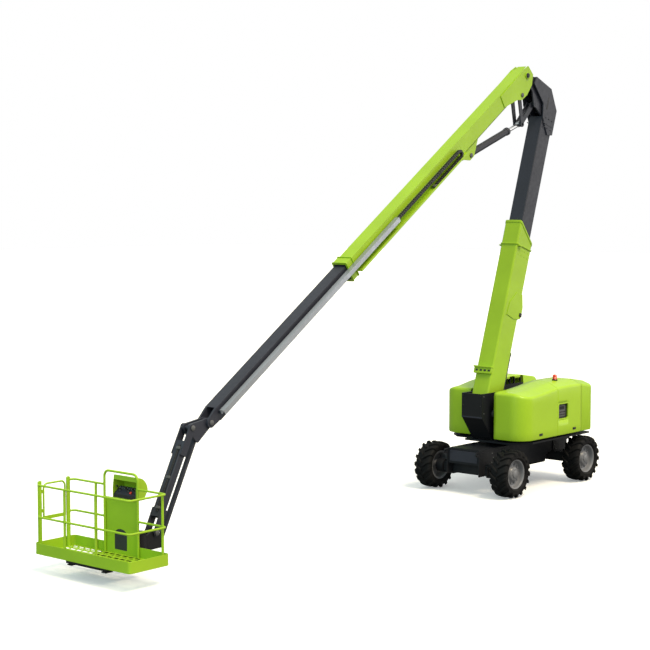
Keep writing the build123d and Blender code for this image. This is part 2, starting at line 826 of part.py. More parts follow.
with BuildPart() as base:
    with BuildSketch(across(elbow_x, elbow_z, main_angle).offset(tube_start)):
        Polygon(
            (-base_half_width, base_top),
            (base_half_width, base_top),
            (base_half_width, base_bottom + 60),
            (base_half_width - 55, base_bottom),
            (55 - base_half_width, base_bottom),
            (-base_half_width, base_bottom + 60),
            align=None,
        )
        Polygon(
            (base_wall - base_half_width, base_top - base_wall),
            (base_half_width - base_wall, base_top - base_wall),
            (base_half_width - base_wall, base_bottom + 64),
            (base_half_width - 59, base_bottom + base_wall),
            (59 - base_half_width, base_bottom + base_wall),
            (base_wall - base_half_width, base_bottom + 64),
            align=None,
            mode=Mode.SUBTRACT,
        )
    extrude(amount=base_end - tube_start)
    with BuildSketch(*pair(elbow_x, elbow_z, main_angle, base_half_width - 4, base_half_width + 20)):
        Polygon(
            (-230, -110),
            (-170, 150),
            (40, base_top),
            (1150, base_top - 30),
            (1150, base_bottom + 80),
            (640, base_bottom - 40),
            (470, -360),
            (230, -370),
            (-60, -280),
            align=None,
        )
        Circle(55 + fit, mode=Mode.SUBTRACT)
    extrude(amount=24)
    with BuildSketch(side(elbow_x, elbow_z, main_angle)):
        Polygon(
            (160, base_top),
            (tube_start + 40, base_top),
            (tube_start + 40, base_top - base_wall),
            (160, base_top - 14),
            align=None,
        )
    extrude(amount=base_half_width, both=True)
    with BuildSketch(*pair(elbow_x, elbow_z, main_angle, 84, 110)):
        Polygon(
            (ram_along - 420, base_bottom + 4),
            (ram_along + 420, base_bottom + 4),
            (ram_along + 90, ram_up - 75),
            (ram_along - 90, ram_up - 75),
            align=None,
        )
    extrude(amount=26)
    with BuildSketch(side(*on_main(ram_along, ram_up))):
        Circle(40)
    extrude(amount=118, both=True)
    with BuildSketch(side(*on_main(idler_along, idler_up))):
        Circle(35)
    extrude(amount=base_half_width + 30, both=True)
    with BuildSketch(across(elbow_x, elbow_z, main_angle).offset(base_end - collar)):
        with Locations((0, base_mid)):
            Rectangle(2 * base_half_width + 28, base_depth + 28)
            Rectangle(2 * base_half_width - 30, base_depth - 30, mode=Mode.SUBTRACT)
    extrude(amount=collar)
save(base.part, "main_boom_base")

with BuildPart() as main_pads:
    with BuildSketch(across(elbow_x, elbow_z, main_angle).offset(base_end - collar + 20)):
        Polygon(
            (15 - base_half_width, base_top - 15),
            (base_half_width - 15, base_top - 15),
            (base_half_width - 15, base_bottom + 74),
            (base_half_width - 68, base_bottom + 15),
            (68 - base_half_width, base_bottom + 15),
            (15 - base_half_width, base_bottom + 74),
            align=None,
        )
        with Locations((0, (fly_top + fly_bottom) / 2)):
            Rectangle(2 * (fly_half_width + seat), fly_top - fly_bottom + 2 * seat, mode=Mode.SUBTRACT)
    extrude(amount=collar + 5)
save(main_pads.part, "main_wear_pads")

# Main boom fly: folded tube ending in a fork for the tip
with BuildPart() as fly:
    with BuildSketch(across(elbow_x, elbow_z, main_angle).offset(fly_tail)):
        Polygon(
            (-fly_half_width, fly_top),
            (fly_half_width, fly_top),
            (fly_half_width, fly_bottom + 45),
            (fly_half_width - 45, fly_bottom),
            (45 - fly_half_width, fly_bottom),
            (-fly_half_width, fly_bottom + 45),
            align=None,
        )
        Polygon(
            (9 - fly_half_width, fly_top - 9),
            (fly_half_width - 9, fly_top - 9),
            (fly_half_width - 9, fly_bottom + 49),
            (fly_half_width - 49, fly_bottom + 9),
            (49 - fly_half_width, fly_bottom + 9),
            (9 - fly_half_width, fly_bottom + 49),
            align=None,
            mode=Mode.SUBTRACT,
        )
    extrude(amount=fly_end - fly_tail)
    with BuildSketch(*pair(elbow_x, elbow_z, main_angle, 95, fly_half_width)):
        Polygon(
            (fly_end - 60, fly_top),
            (fly_end - 60, fly_bottom + 46),
            (fly_end, fly_bottom + 46),
            (tip_along - 20, tip_up - 95),
            (tip_along, tip_up + 95),
            (fly_end, fly_top),
            align=None,
        )
        with Locations((tip_along, tip_up)):
            Circle(95)
        with Locations((tip_along, tip_up)):
            Circle(45 + fit, mode=Mode.SUBTRACT)
    extrude(amount=fly_half_width - 95)
    with BuildSketch(across(elbow_x, elbow_z, main_angle).offset(fly_end - 150)):
        with Locations(((fly_half_width + tube_inner) / 2, tube_mid)):
            Rectangle(tube_inner - fly_half_width, 70)
    extrude(amount=140)
save(fly.part, "main_boom_fly")

# Push tube: a channel open below that carries the services chain's upper run
with BuildPart() as push_tube:
    with BuildSketch(across(elbow_x, elbow_z, main_angle).offset(tube_tail)):
        with Locations(((tube_inner + tube_outer) / 2, tube_mid)):
            Rectangle(tube_outer - tube_inner, tube_depth)
        with Locations(((tube_inner + tube_outer) / 2, tube_mid - 8)):
            Rectangle(tube_outer - tube_inner - 14, tube_depth, mode=Mode.SUBTRACT)
    extrude(amount=fly_end - 10 - tube_tail)
save(push_tube.part, "push_tube")

# Services chain: a flat loop with one bend, lying in a tray on the base's left side
chain_mid_y = (tube_inner + tube_outer) / 2
chain_half = 38.0
chain_r = 100.0
chain_thick = 50.0
bend_along = 3250.0
bend_up = -45.0
foot_along = 4350.0
with BuildPart() as chain:
    with BuildSketch(side(elbow_x, elbow_z, main_angle, chain_mid_y)):
        with Locations((bend_along, bend_up)):
            Circle(chain_r)
            Circle(chain_r - chain_thick, mode=Mode.SUBTRACT)
        with Locations((bend_along + 100, bend_up)):
            Rectangle(200, 2 * chain_r, mode=Mode.SUBTRACT)
        upper = bend_up + chain_r - chain_thick / 2
        lower = bend_up - chain_r + chain_thick / 2
        with Locations(((bend_along + tube_tail) / 2, upper)):
            Rectangle(tube_tail - bend_along, chain_thick)
        with Locations(((bend_along + foot_along) / 2, lower)):
            Rectangle(foot_along - bend_along, chain_thick)
    extrude(amount=chain_half, both=True)
save(chain.part, "services_chain")

with BuildPart() as tray:
    with BuildSketch(across(elbow_x, elbow_z, main_angle).offset(bend_along - 250)):
        tray_top = bend_up - chain_r
        Polygon(
            (base_half_width, tray_top),
            (tube_outer, tray_top),
            (tube_outer, tray_top + 34),
            (tube_outer + 8, tray_top + 34),
            (tube_outer + 8, tray_top - 8),
            (base_half_width, tray_top - 8),
            align=None,
        )
    extrude(amount=base_end - collar - 20 - bend_along + 250)
save(tray.part, "services_tray")

# Main lift ram, idler links on the boom and elbow links, meeting at one open eye
ram_base_x, ram_base_z = on_main(ram_along, ram_up)
eye_x, eye_z = on_main(ram_along - eye_back, ram_up - eye_drop)
ram_length = hypot(eye_back, eye_drop)
ram_angle = degrees(atan2(eye_z - ram_base_z, eye_x - ram_base_x))
ram_barrel_end = 1660.0

with BuildPart() as main_barrel:
    with BuildSketch(across(ram_base_x, ram_base_z, ram_angle).offset(50)):
        Circle(78)
    extrude(amount=ram_barrel_end - 50)
    with BuildSketch(side(ram_base_x, ram_base_z)):
        Circle(70)
    extrude(amount=74, both=True)
    with BuildSketch(across(ram_base_x, ram_base_z, ram_angle).offset(110)):
        Circle(45 + fit)
    extrude(amount=ram_barrel_end, mode=Mode.SUBTRACT)
    with BuildSketch(side(ram_base_x, ram_base_z)):
        Circle(40 + fit)
    extrude(amount=90, both=True, mode=Mode.SUBTRACT)
save(main_barrel.part, "main_lift_barrel")

with BuildPart() as main_rod:
    with BuildSketch(across(ram_base_x, ram_base_z, ram_angle).offset(ram_length - 1540)):
        Circle(45)
    extrude(amount=1540 - 46)
    with BuildSketch(side(eye_x, eye_z)):
        Circle(65)
        Circle(30, mode=Mode.SUBTRACT)
    extrude(amount=40, both=True)
save(main_rod.part, "main_lift_rod")


def link_pair(start, end, start_bore, inner, outer, start_r, end_r):
    """Pair of flat links between two pins of the side view, bored at their first pin."""
    length = hypot(end[0] - start[0], end[1] - start[1])
    angle = degrees(atan2(end[1] - start[1], end[0] - start[0]))
    with BuildPart() as links:
        with BuildSketch(*pair(start[0], start[1], angle, inner, outer)):
            Circle(start_r)
            with Locations((length, 0)):
                Circle(end_r)
            Polygon(
                (0, 8 - start_r),
                (length, 8 - end_r),
                (length, end_r - 8),
                (0, start_r - 8),
                align=None,
            )
            Circle(start_bore + fit, mode=Mode.SUBTRACT)
            with Locations((length, 0)):
                Circle(30, mode=Mode.SUBTRACT)
        extrude(amount=outer - inner)
    return links.part


idler = link_pair(on_main(idler_along, idler_up), (eye_x, eye_z), 35, 82, 112, 68, 60)
save(idler, "idler_links")
elbow_eye = on_lower(elbow_link_along, elbow_link_ahead)
save(link_pair(elbow_eye, (eye_x, eye_z), 35, 46, 76, 68, 60), "elbow_links")

# Tip: a levelled bracket on the fly's end, with the jib's two upper pins
link_x = jib_x - link_back
link_z = jib_z - link_drop
with BuildPart() as level_pin:
    with BuildSketch(side(tip_x, tip_z)):
        Circle(45)
    extrude(amount=fly_half_width + 12, both=True)
save(level_pin.part, "level_pin")

with BuildPart() as tip:
    with BuildSketch(*pair(0, 0, 0, 45, 90)):
        Polygon(
            (tip_x - 20, tip_z + 88),
            (jib_x + 20, jib_z + 66),
            (jib_x + 66, jib_z - 20),
            (link_x + 40, link_z - 20),
            (link_x - 35, link_z - 25),
            (tip_x - 40, tip_z - 76),
            align=None,
        )
        with Locations((tip_x, tip_z)):
            Circle(88)
        with Locations((jib_x, jib_z)):
            Circle(70)
        with Locations((link_x, link_z)):
            Circle(44)
    extrude(amount=45)
    with BuildSketch(side(tip_x, tip_z)):
        Circle(80)
    extrude(amount=90, both=True)
    with BuildSketch(side(jib_x, jib_z)):
        Circle(35)
    extrude(amount=135, both=True)
    with BuildSketch(side(link_x, link_z)):
        Circle(25)
    extrude(amount=50, both=True)
    with BuildSketch(side(tip_x, tip_z)):
        Circle(45 + fit)
    extrude(amount=100, both=True, mode=Mode.SUBTRACT)
save(tip.part, "tip_bracket")

# Jib: box tube with a fork at each end, and the levelling link behind it
fork = 275.0
with BuildPart() as jib:
    with BuildSketch(across(jib_x, jib_z, jib_angle).offset(fork)):
        RectangleRounded(2 * jib_half_width, 2 * jib_half_depth, 20)
        RectangleRounded(2 * jib_half_width - 16, 2 * jib_half_depth - 16, 12, mode=Mode.SUBTRACT)
    extrude(amount=jib_length - 2 * fork)
    with BuildSketch(*pair(jib_x, jib_z, jib_angle, jib_half_width - 2, jib_half_width + 30)):
        Circle(72)
        Polygon((0, -70), (fork + 260, -jib_half_depth), (fork + 260, jib_half_depth), (0, 70), align=None)
        Circle(35 + fit, mode=Mode.SUBTRACT)
        with Locations((jib_length, 0)):
            Circle(66)
        Polygon(
            (jib_length, -64),
            (jib_length - fork - 160, -jib_half_depth),
            (jib_length - fork - 160, jib_half_depth),
            (jib_length, 64),
            align=None,
        )
        with Locations((jib_length, 0)):
            Circle(35 + fit, mode=Mode.SUBTRACT)
    extrude(amount=32)
save(jib.part, "jib_tube")

with BuildPart() as jib_link:
    with BuildSketch(side(link_x, link_z, jib_angle)):
        Circle(42)
        with Locations((jib_length, 0)):
            Circle(42)
        with Locations((jib_length / 2, 0)):
            Rectangle(jib_length, 58)
        Circle(25 + fit, mode=Mode.SUBTRACT)
        with Locations((jib_length, 0)):
            Circle(25 + fit, mode=Mode.SUBTRACT)
    extrude(amount=38, both=True)
save(jib_link.part, "jib_link")

# Platform bracket: lower pins of the jib and its link, and the rotator housing
link_end_x = jib_end_x - link_back
link_end_z = jib_end_z - link_drop
rotator_bottom = 335.0
rotator_top = 645.0
with BuildPart() as bracket:
    with BuildSketch(*pair(0, 0, 0, 45, 90)):
        Polygon(
            (link_end_x - 40, link_end_z + 20),
            (jib_end_x - 60, jib_end_z + 40),
            (jib_end_x, jib_end_z + 64),
            (rotator_x - 60, rotator_top - 50),
            (rotator_x - 60, rotator_bottom),
            (link_end_x, link_end_z - 44),
            align=None,
        )
        with Locations((jib_end_x, jib_end_z)):
            Circle(66)
        with Locations((link_end_x, link_end_z)):
            Circle(44)
    extrude(amount=45)
    with BuildSketch(Plane.XY.offset(rotator_bottom)):
        with Locations((rotator_x, 0)):
            Circle(115)
    extrude(amount=rotator_top - rotator_bottom)
    with BuildSketch(side(jib_end_x, jib_end_z)):
        Circle(35)
    extrude(amount=135, both=True)
    with BuildSketch(side(link_end_x, link_end_z)):
        Circle(25)
    extrude(amount=50, both=True)
    with BuildSketch(Plane.XY.offset(rotator_bottom - 10)):
        with Locations((rotator_x, 0)):
            Circle(40 + fit)
    extrude(amount=rotator_top - rotator_bottom + 20, mode=Mode.SUBTRACT)
save(bracket.part, "platform_bracket")

# Platform: support frame, floor tray, rails, panel, console, gate
platform_mid = (platform_front + platform_rear) / 2
toe_top = platform_floor_z + toe_height
with BuildPart() as support:
    for level in (rotator_bottom - 36, rotator_top + 6):
        with BuildSketch(Plane.XY.offset(level)):
            with Locations((rotator_x, 0)):
                Circle(115)
            with Locations(((rotator_x + platform_rear) / 2, 0)):
                Rectangle(platform_rear - rotator_x, 230)
        extrude(amount=30)
    with BuildSketch(Plane.XY.offset(rotator_bottom - 36)):
        with Locations((rotator_x, 0)):
            Circle(40)
    extrude(amount=rotator_top + 36 - rotator_bottom + 36)
    with BuildSketch(Plane.YZ.offset(platform_rear - 40)):
        Polygon(
            (-480, 250),
            (480, 250),
            (480, 420),
            (180, rotator_top + 36),
            (-180, rotator_top + 36),
            (-480, 420),
            align=None,
        )
    extrude(amount=40)
    with BuildSketch(Plane.XY.offset(250)):
        for hand in (-1, 1):
            with Locations(((platform_rear - 40 + platform_front - 160) / 2, hand * 440)):
                Rectangle(platform_front - 120 - platform_rear, 80)
        with Locations((platform_front - 200, 0), (platform_mid, 0)):
            Rectangle(80, 880)
    extrude(amount=platform_floor_z - 250)
    with BuildSketch(Plane.XY.offset(225)):
        with Locations(*[(x, y) for x in (platform_rear + 20, platform_front - 200) for y in (-440, 440)]):
            Rectangle(100, 90)
    extrude(amount=25)
save(support.part, "platform_support")

with BuildPart() as floor:
    with BuildSketch(Plane.XY.offset(platform_floor_z)):
        with Locations((platform_mid, 0)):
            RectangleRounded(platform_front - platform_rear, 2 * platform_half, 60)
    extrude(amount=toe_height)
    with BuildSketch(Plane.XY.offset(platform_floor_z + 25)):
        with Locations((platform_mid, 0)):
            RectangleRounded(platform_front - platform_rear - 16, 2 * platform_half - 16, 52)
    extrude(amount=toe_height, mode=Mode.SUBTRACT)
save(floor.part, "platform_floor")

# Rails: bent tubes at two heights on posts, with a gap at the right end for the gate
toe_sheet = 8.0
post_r = 27.0
rail_x0 = platform_rear + toe_sheet + post_r + seat
rail_x1 = platform_front - toe_sheet - post_r - seat
rail_y = platform_half - toe_sheet - post_r - seat
hoop_left = 480.0
hoop_right = -370.0
bend = 110.0
post_gap = 60.0
posts = [(rail_x1, -450), (rail_x1, 350), (rail_x0, 1090), (rail_x0, -600)]
gate_y = -rail_y
gate_posts = [(gate_hinge_x + post_gap, gate_y), (gate_latch_x - post_gap, gate_y)]
hinge_levels = (mid_rail_z + 60, top_rail_z - 160)
pin_x = gate_hinge_x + 20

with BuildPart() as rails:
    for level in (mid_rail_z, top_rail_z):
        with BuildLine() as long_run:
            FilletPolyline(
                (rail_x0, hoop_left, level),
                (rail_x0, rail_y, level),
                (rail_x1, rail_y, level),
                (rail_x1, -rail_y, level),
                (gate_hinge_x + post_gap, -rail_y, level),
                radius=bend - 40,
            )
        with BuildSketch(Plane(origin=(rail_x0, hoop_left, level), z_dir=(0, 1, 0))):
            Circle(rail_r)
        sweep(path=long_run.line)
        with BuildLine() as short_run:
            FilletPolyline(
                (rail_x0, hoop_right, level),
                (rail_x0, -rail_y, level),
                (gate_latch_x - post_gap, -rail_y, level),
                radius=bend - 40,
            )
        with BuildSketch(Plane(origin=(rail_x0, hoop_right, level), z_dir=(0, -1, 0))):
            Circle(rail_r)
        sweep(path=short_run.line)
    with BuildSketch(Plane.XY.offset(platform_floor_z + 25)):
        with Locations(*posts):
            Circle(rail_r + 4)
    extrude(amount=top_rail_z - platform_floor_z - 25)
    with BuildSketch(Plane.XY.offset(platform_floor_z + 25)):
        with Locations(*gate_posts):
            Circle(post_r)
    extrude(amount=top_rail_z + 60 - platform_floor_z - 25)
    with BuildLine() as hoop:
        FilletPolyline(
            (rail_x0, hoop_left, platform_floor_z + 25),
            (rail_x0, hoop_left, top_rail_z + 250),
            (rail_x0, hoop_right, top_rail_z + 250),
            (rail_x0, hoop_right, platform_floor_z + 25),
            radius=bend,
        )
    with BuildSketch(Plane(origin=(rail_x0, hoop_left, platform_floor_z + 25), z_dir=(0, 0, 1))):
        Circle(rail_r + 3)
    sweep(path=hoop.line)
    for level in hinge_levels:
        with BuildSketch(Plane.XY.offset(level)):
            with Locations(((pin_x + gate_hinge_x + post_gap) / 2, gate_y)):
                Rectangle(gate_hinge_x + post_gap - pin_x, 22)
            with Locations((pin_x, gate_y)):
                Circle(11)
        extrude(amount=16)
        with BuildSketch(Plane.XY.offset(level)):
            with Locations((pin_x, gate_y)):
                Circle(7)
        extrude(amount=60)
save(rails.part, "platform_rails")

# Panel and console on the machine's side of the platform
panel_x = rail_x0 - rail_r - 3 - seat
with BuildPart() as panel:
    with BuildSketch(Plane.YZ.offset(panel_x - 8)):
        Polygon(
            (hoop_right, toe_top + 5),
            (hoop_left, toe_top + 5),
            (hoop_left, 1340),
            (hoop_right, 1340),
            align=None,
        )
        with Locations((0, 700)):
            Rectangle(340, 250, mode=Mode.SUBTRACT)
        with Locations((0, 1040)):
            Rectangle(340, 90, mode=Mode.SUBTRACT)
    extrude(amount=8)
save(panel.part, "console_panel")

console_w = 600.0
console_mid = 150.0
with BuildPart() as shell:
    with BuildSketch(side(panel_x, 1340, 0, console_mid)):
        with BuildLine():
            Line((30, 0), (30, 190))
            Line((30, 190), (0, 400))
            RadiusArc((0, 400), (-240, 160), -240)
            Line((-240, 160), (-150, 0))
            Line((-150, 0), (30, 0))
        make_face()
    extrude(amount=console_w / 2, both=True)
    with BuildSketch(side(panel_x, 1340, 0, console_mid)):
        with BuildLine():
            Line((40, 10), (40, 196))
            Line((40, 196), (-4, 388))
            RadiusArc((-4, 388), (-228, 164), -228)
            Line((-228, 164), (-144, 10))
            Line((-144, 10), (40, 10))
        make_face()
    extrude(amount=console_w / 2 - 10, both=True, mode=Mode.SUBTRACT)
save(shell.part, "console_shell")

with BuildPart() as console:
    with BuildSketch(side(panel_x, 1340, 0, console_mid)):
        Polygon((20, 10), (20, 60), (-130, 190), (-215, 165), (-140, 10), align=None)
    extrude(amount=console_w / 2 - 10, both=True)
save(console.part, "control_console")

# Gate swinging inward on the post at the front of the entry
with BuildPart() as gate:
    with BuildLine() as frame:
        FilletPolyline(
            (gate_hinge_x - 15, gate_y, mid_rail_z - 60),
            (gate_hinge_x - 15, gate_y, top_rail_z),
            (gate_latch_x + 15, gate_y, top_rail_z),
            (gate_latch_x + 15, gate_y, mid_rail_z - 60),
            radius=90,
        )
    with BuildSketch(Plane(origin=(gate_hinge_x - 15, gate_y, mid_rail_z - 60), z_dir=(0, 0, 1))):
        Circle(rail_r - 2)
    sweep(path=frame.line)
    with BuildSketch(Plane.YZ.offset(gate_latch_x + 15)):
        with Locations((gate_y, mid_rail_z - 40)):
            Rectangle(26, 60)
    extrude(amount=gate_hinge_x - gate_latch_x - 30)
    for level in hinge_levels:
        with BuildSketch(Plane.XY.offset(level + 16 + seat)):
            with Locations((pin_x, gate_y)):
                Circle(11)
            with Locations((pin_x - 15, gate_y)):
                Rectangle(30, 14)
        extrude(amount=36)
        with BuildSketch(Plane.XY.offset(level + 10)):
            with Locations((pin_x, gate_y)):
                Circle(7 + fit)
        extrude(amount=60, mode=Mode.SUBTRACT)
save(gate.part, "gate")
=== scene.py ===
"""Dresses the articulated boom lift: finishes, lugged tyres, covers, services chain and fittings.

Metres, +X towards the platform, +Y to the machine's left, +Z up.
"""
import json
import logging
from dataclasses import dataclass
from enum import Enum

import bmesh
import bpy
import numpy as np
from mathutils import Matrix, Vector


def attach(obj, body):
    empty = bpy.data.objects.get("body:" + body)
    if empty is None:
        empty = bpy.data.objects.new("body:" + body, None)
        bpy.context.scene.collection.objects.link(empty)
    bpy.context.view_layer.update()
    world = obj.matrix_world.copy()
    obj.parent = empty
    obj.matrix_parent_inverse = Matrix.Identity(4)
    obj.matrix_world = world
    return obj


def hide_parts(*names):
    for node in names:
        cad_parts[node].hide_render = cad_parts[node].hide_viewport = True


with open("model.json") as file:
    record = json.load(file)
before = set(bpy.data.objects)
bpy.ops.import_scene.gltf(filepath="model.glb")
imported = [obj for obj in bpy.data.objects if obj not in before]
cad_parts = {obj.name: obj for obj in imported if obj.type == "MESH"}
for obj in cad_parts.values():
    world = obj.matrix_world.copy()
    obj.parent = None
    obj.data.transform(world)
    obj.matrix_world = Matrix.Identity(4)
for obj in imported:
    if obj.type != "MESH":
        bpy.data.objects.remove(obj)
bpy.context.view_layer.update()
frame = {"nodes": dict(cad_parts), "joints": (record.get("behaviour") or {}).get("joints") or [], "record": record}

JOINTS = {joint["name"]: joint for joint in frame["joints"]}
NODE_SLOT = {part["node"]: part["material_slot"] for part in frame["record"]["subparts"]}
log = logging.getLogger("boom_lift")
Array = np.ndarray

# The slew axis lies this far behind the frame's origin.
MIDDLE = 5.43
AHEAD, LEFTWARD, UPWARD = np.eye(3)
SQUARE = (AHEAD, LEFTWARD, UPWARD)


class Hand(Enum):
    """Sides of the machine; the value is the sign of y there."""

    LEFT = 1
    RIGHT = -1

    @property
    def side(self) -> str:
        """The side's word in the names of pieces and bodies."""
        return self.name.lower()

    @property
    def outward(self) -> Array:
        """Direction away from the machine's middle."""
        return self.value * LEFTWARD


class End(Enum):
    """Ends of the chassis; the value is the sign of x there."""

    FRONT = 1
    REAR = -1


class Head(Enum):
    """Bolt heads, nuts and round knobs: half the width across corners, height and number of sides."""

    WHEEL_NUT = (0.021, 0.032, 6)
    HUB_BOLT = (0.009, 0.010, 6)
    FLANGE_BOLT = (0.013, 0.010, 6)
    CAP_BOLT = (0.010, 0.008, 6)
    CHEEK_BOLT = (0.016, 0.012, 6)
    DECK_BOLT = (0.014, 0.010, 6)
    SHIELD_BOLT = (0.014, 0.011, 6)
    FRAME_BOLT = (0.017, 0.013, 6)
    ELBOW_BOLT = (0.017, 0.014, 6)
    COLLAR_SCREW = (0.011, 0.009, 6)
    CHAIN_PIN = (0.011, 0.005, 10)
    GROUND_SWITCH = (0.014, 0.012, 16)
    CONSOLE_SWITCH = (0.009, 0.014, 12)


class Profile(Enum):
    """Outlines (r, h) that are turned about an axis; h runs outwards from the seat."""

    HALF_TYRE = (
        (0.305, 0.140), (0.318, 0.158), (0.345, 0.186), (0.362, 0.198), (0.368, 0.203), (0.376, 0.199),
        (0.410, 0.206), (0.440, 0.200), (0.466, 0.184), (0.482, 0.155), (0.488, 0.110), (0.490, 0.0),
    )
    RIM = (
        (0.0, 0.047), (0.063, 0.047), (0.063, -0.118), (0.100, -0.118), (0.100, 0.040), (0.278, 0.040),
        (0.280, -0.150), (0.322, -0.166), (0.325, -0.160), (0.305, -0.146), (0.305, 0.146),
        (0.325, 0.158), (0.323, 0.167), (0.312, 0.167), (0.296, 0.156), (0.288, 0.130), (0.281, 0.096),
        (0.268, 0.070), (0.238, 0.062), (0.176, 0.066), (0.160, 0.080), (0.148, 0.118), (0.134, 0.128),
        (0.090, 0.131), (0.084, 0.148), (0.070, 0.156), (0.0, 0.158),
    )
    FOOT_CAP = ((0.088, 0), (0.088, 0.014), (0.074, 0.024), (0, 0.026))
    BEACON_STAND = ((0.062, -0.004), (0.064, 0.020), (0.056, 0.030), (0, 0.031))
    ELBOW_CAP = ((0.080, 0), (0.080, 0.012), (0.066, 0.022), (0.030, 0.022), (0.026, 0.010), (0, 0.010))
    ELBOW_PIN_END = ((0.034, 0), (0.034, 0.012), (0, 0.013))
    PIN_STUB = ((0.050, 0), (0.050, 0.010), (0.038, 0.016), (0, 0.017))
    JIB_CAP = ((0.050, 0), (0.050, 0.010), (0.040, 0.018), (0, 0.019))
    MAIN_GLAND = ((0.047, 0), (0.086, 0), (0.090, 0.012), (0.090, 0.070), (0.080, 0.085), (0.047, 0.085))
    LOWER_GLAND = ((0.047, 0), (0.080, 0), (0.083, 0.010), (0.083, 0.060), (0.074, 0.072), (0.047, 0.072))
    STICK = (
        (0.034, 0.0), (0.034, 0.010), (0.026, 0.016), (0.018, 0.030), (0.009, 0.034), (0.008, 0.085),
        (0.015, 0.092), (0.018, 0.112), (0.014, 0.126), (0.0, 0.130),
    )
    STOP_BUTTON = ((0.016, 0), (0.016, 0.012), (0.024, 0.014), (0.024, 0.026), (0.014, 0.032), (0, 0.033))

    @property
    def points(self) -> Array:
        """The outline as an n x 2 array."""
        return np.array(self.value, float)


# Surfaces

@dataclass
class Surface:
    """Points and faces of one mesh, before it becomes a piece."""

    points: Array
    faces: list

    def __add__(self, other: "Surface") -> "Surface":
        """Both surfaces as one mesh, the second's faces renumbered."""
        shift = len(self.points)
        faces = self.faces + [[i + shift for i in face] for face in other.faces]
        return Surface(np.vstack([self.points, other.points]), faces)

    def moved(self, offset: Array) -> "Surface":
        """The same surface, shifted."""
        return Surface(self.points + offset, self.faces)

    def mirrored(self) -> "Surface":
        """The same surface on the machine's other hand, with y reversed."""
        return Surface(self.points * np.array([1.0, -1.0, 1.0]), [face[::-1] for face in self.faces])


def joined(parts: list) -> Surface:
    """All the surfaces of a list as one mesh.

    Args:
        parts: surfaces to join.

    Returns:
        One surface with every point and face.
    """
    starts = np.cumsum([0] + [len(part.points) for part in parts])
    faces = [[i + start for i in face] for part, start in zip(parts, starts) for face in part.faces]
    return Surface(np.vstack([part.points for part in parts]), faces)


def sheet_of(grid: Array, around: bool = False, along: bool = False, caps: bool = False) -> Surface:
    """Surface over a grid of points: point (i, j) joins (i + 1, j), (i + 1, j + 1) and (i, j + 1).

    Args:
        grid: rows x columns x 3 points.
        around: whether the last column joins the first.
        along: whether the last row joins the first.
        caps: whether the first and last rows are closed by one face each.

    Returns:
        The surface.
    """
    rows, columns = grid.shape[:2]
    index = np.arange(rows * columns).reshape(rows, columns)
    if around:
        index = np.hstack([index, index[:, :1]])
    if along:
        index = np.vstack([index, index[:1]])
    quads = np.stack([index[:-1, :-1], index[1:, :-1], index[1:, 1:], index[:-1, 1:]], axis=-1)
    faces = quads.reshape(-1, 4).tolist()
    if caps:
        ends = np.arange(rows * columns).reshape(rows, columns)
        faces += [ends[0].tolist(), ends[-1][::-1].tolist()]
    return Surface(grid.reshape(-1, 3), faces)


def frames_along(path: Array, up: Array) -> tuple:
    """Side and upright directions at each point of a path, square to its tangent.

    Args:
        path: n x 3 points.
        up: direction that the upright keeps nearest to.

    Returns:
        Two n x 3 arrays: side = tangent x up, upright = side x tangent, both of unit length.
    """
    tangent = np.gradient(path, axis=0)
    tangent /= np.linalg.norm(tangent, axis=1, keepdims=True)
    side = np.cross(tangent, up)
    side /= np.linalg.norm(side, axis=1, keepdims=True)
    return side, np.cross(side, tangent)


def carried(outline: Array, path: Array, up: Array = UPWARD) -> Surface:
    """Closed outline carried along a path: P(s, t) = path(s) + a(t) side(s) + b(t) upright(s).

    Args:
        outline: m x 2 points (a, b), without the first repeated.
        path: n x 3 points.
        up: direction that the outline's b keeps nearest to.

    Returns:
        The swept surface, capped at both ends.
    """
    side, upright = frames_along(path, up)
    grid = path[:, None] + outline[None, :, :1] * side[:, None] + outline[None, :, 1:] * upright[:, None]
    return sheet_of(grid, around=True, caps=True)


def turned(profile: Array, centre: Array, axis: Array, sides: int = 32, loop: bool = False) -> Surface:
    """Profile turned about an axis: P(s, a) = centre + h(s) axis + r(s) (cos a e1 + sin a e2).

    Args:
        profile: n x 2 points (r, h).
        centre: where the axis starts.
        axis: its direction.
        sides: steps round the circle.
        loop: whether the profile is a closed ring; if not, its ends are capped.

    Returns:
        The turned surface.
    """
    direction = axis / np.linalg.norm(axis)
    helper = UPWARD if abs(direction[2]) < 0.9 else AHEAD
    first = np.cross(direction, helper)
    first /= np.linalg.norm(first)
    second = np.cross(direction, first)
    angle = np.linspace(0, 2 * np.pi, sides, endpoint=False)
    ring = np.cos(angle)[:, None] * first + np.sin(angle)[:, None] * second
    grid = centre + profile[:, None, 1:] * direction + profile[:, None, :1] * ring
    return sheet_of(grid, around=True, along=loop, caps=not loop)


def circle(radius: float, sides: int = 12) -> Array:
    """Outline of a round bar: (r cos a, r sin a)."""
    angle = np.linspace(0, 2 * np.pi, sides, endpoint=False)
    return radius * np.stack([np.cos(angle), np.sin(angle)], axis=1)


def rounded(width: float, height: float, radius: float, steps: int = 4) -> Array:
    """Outline of a rectangle with round corners: corner centres plus quarter circles.

    Args:
        width: full size across.
        height: full size up.
        radius: corner radius.
        steps: points on each corner.

    Returns:
        4 x steps outline points, anticlockwise.
    """
    start = np.array([0.0, 0.5, 1.0, 1.5]) * np.pi
    angle = start[:, None] + np.linspace(0, np.pi / 2, steps)[None]
    signs = np.array([[1, 1], [-1, 1], [-1, -1], [1, -1]], float)
    centres = signs * np.array([width / 2 - radius, height / 2 - radius])
    arc = radius * np.stack([np.cos(angle), np.sin(angle)], axis=-1)
    return (centres[:, None] + arc).reshape(-1, 2)


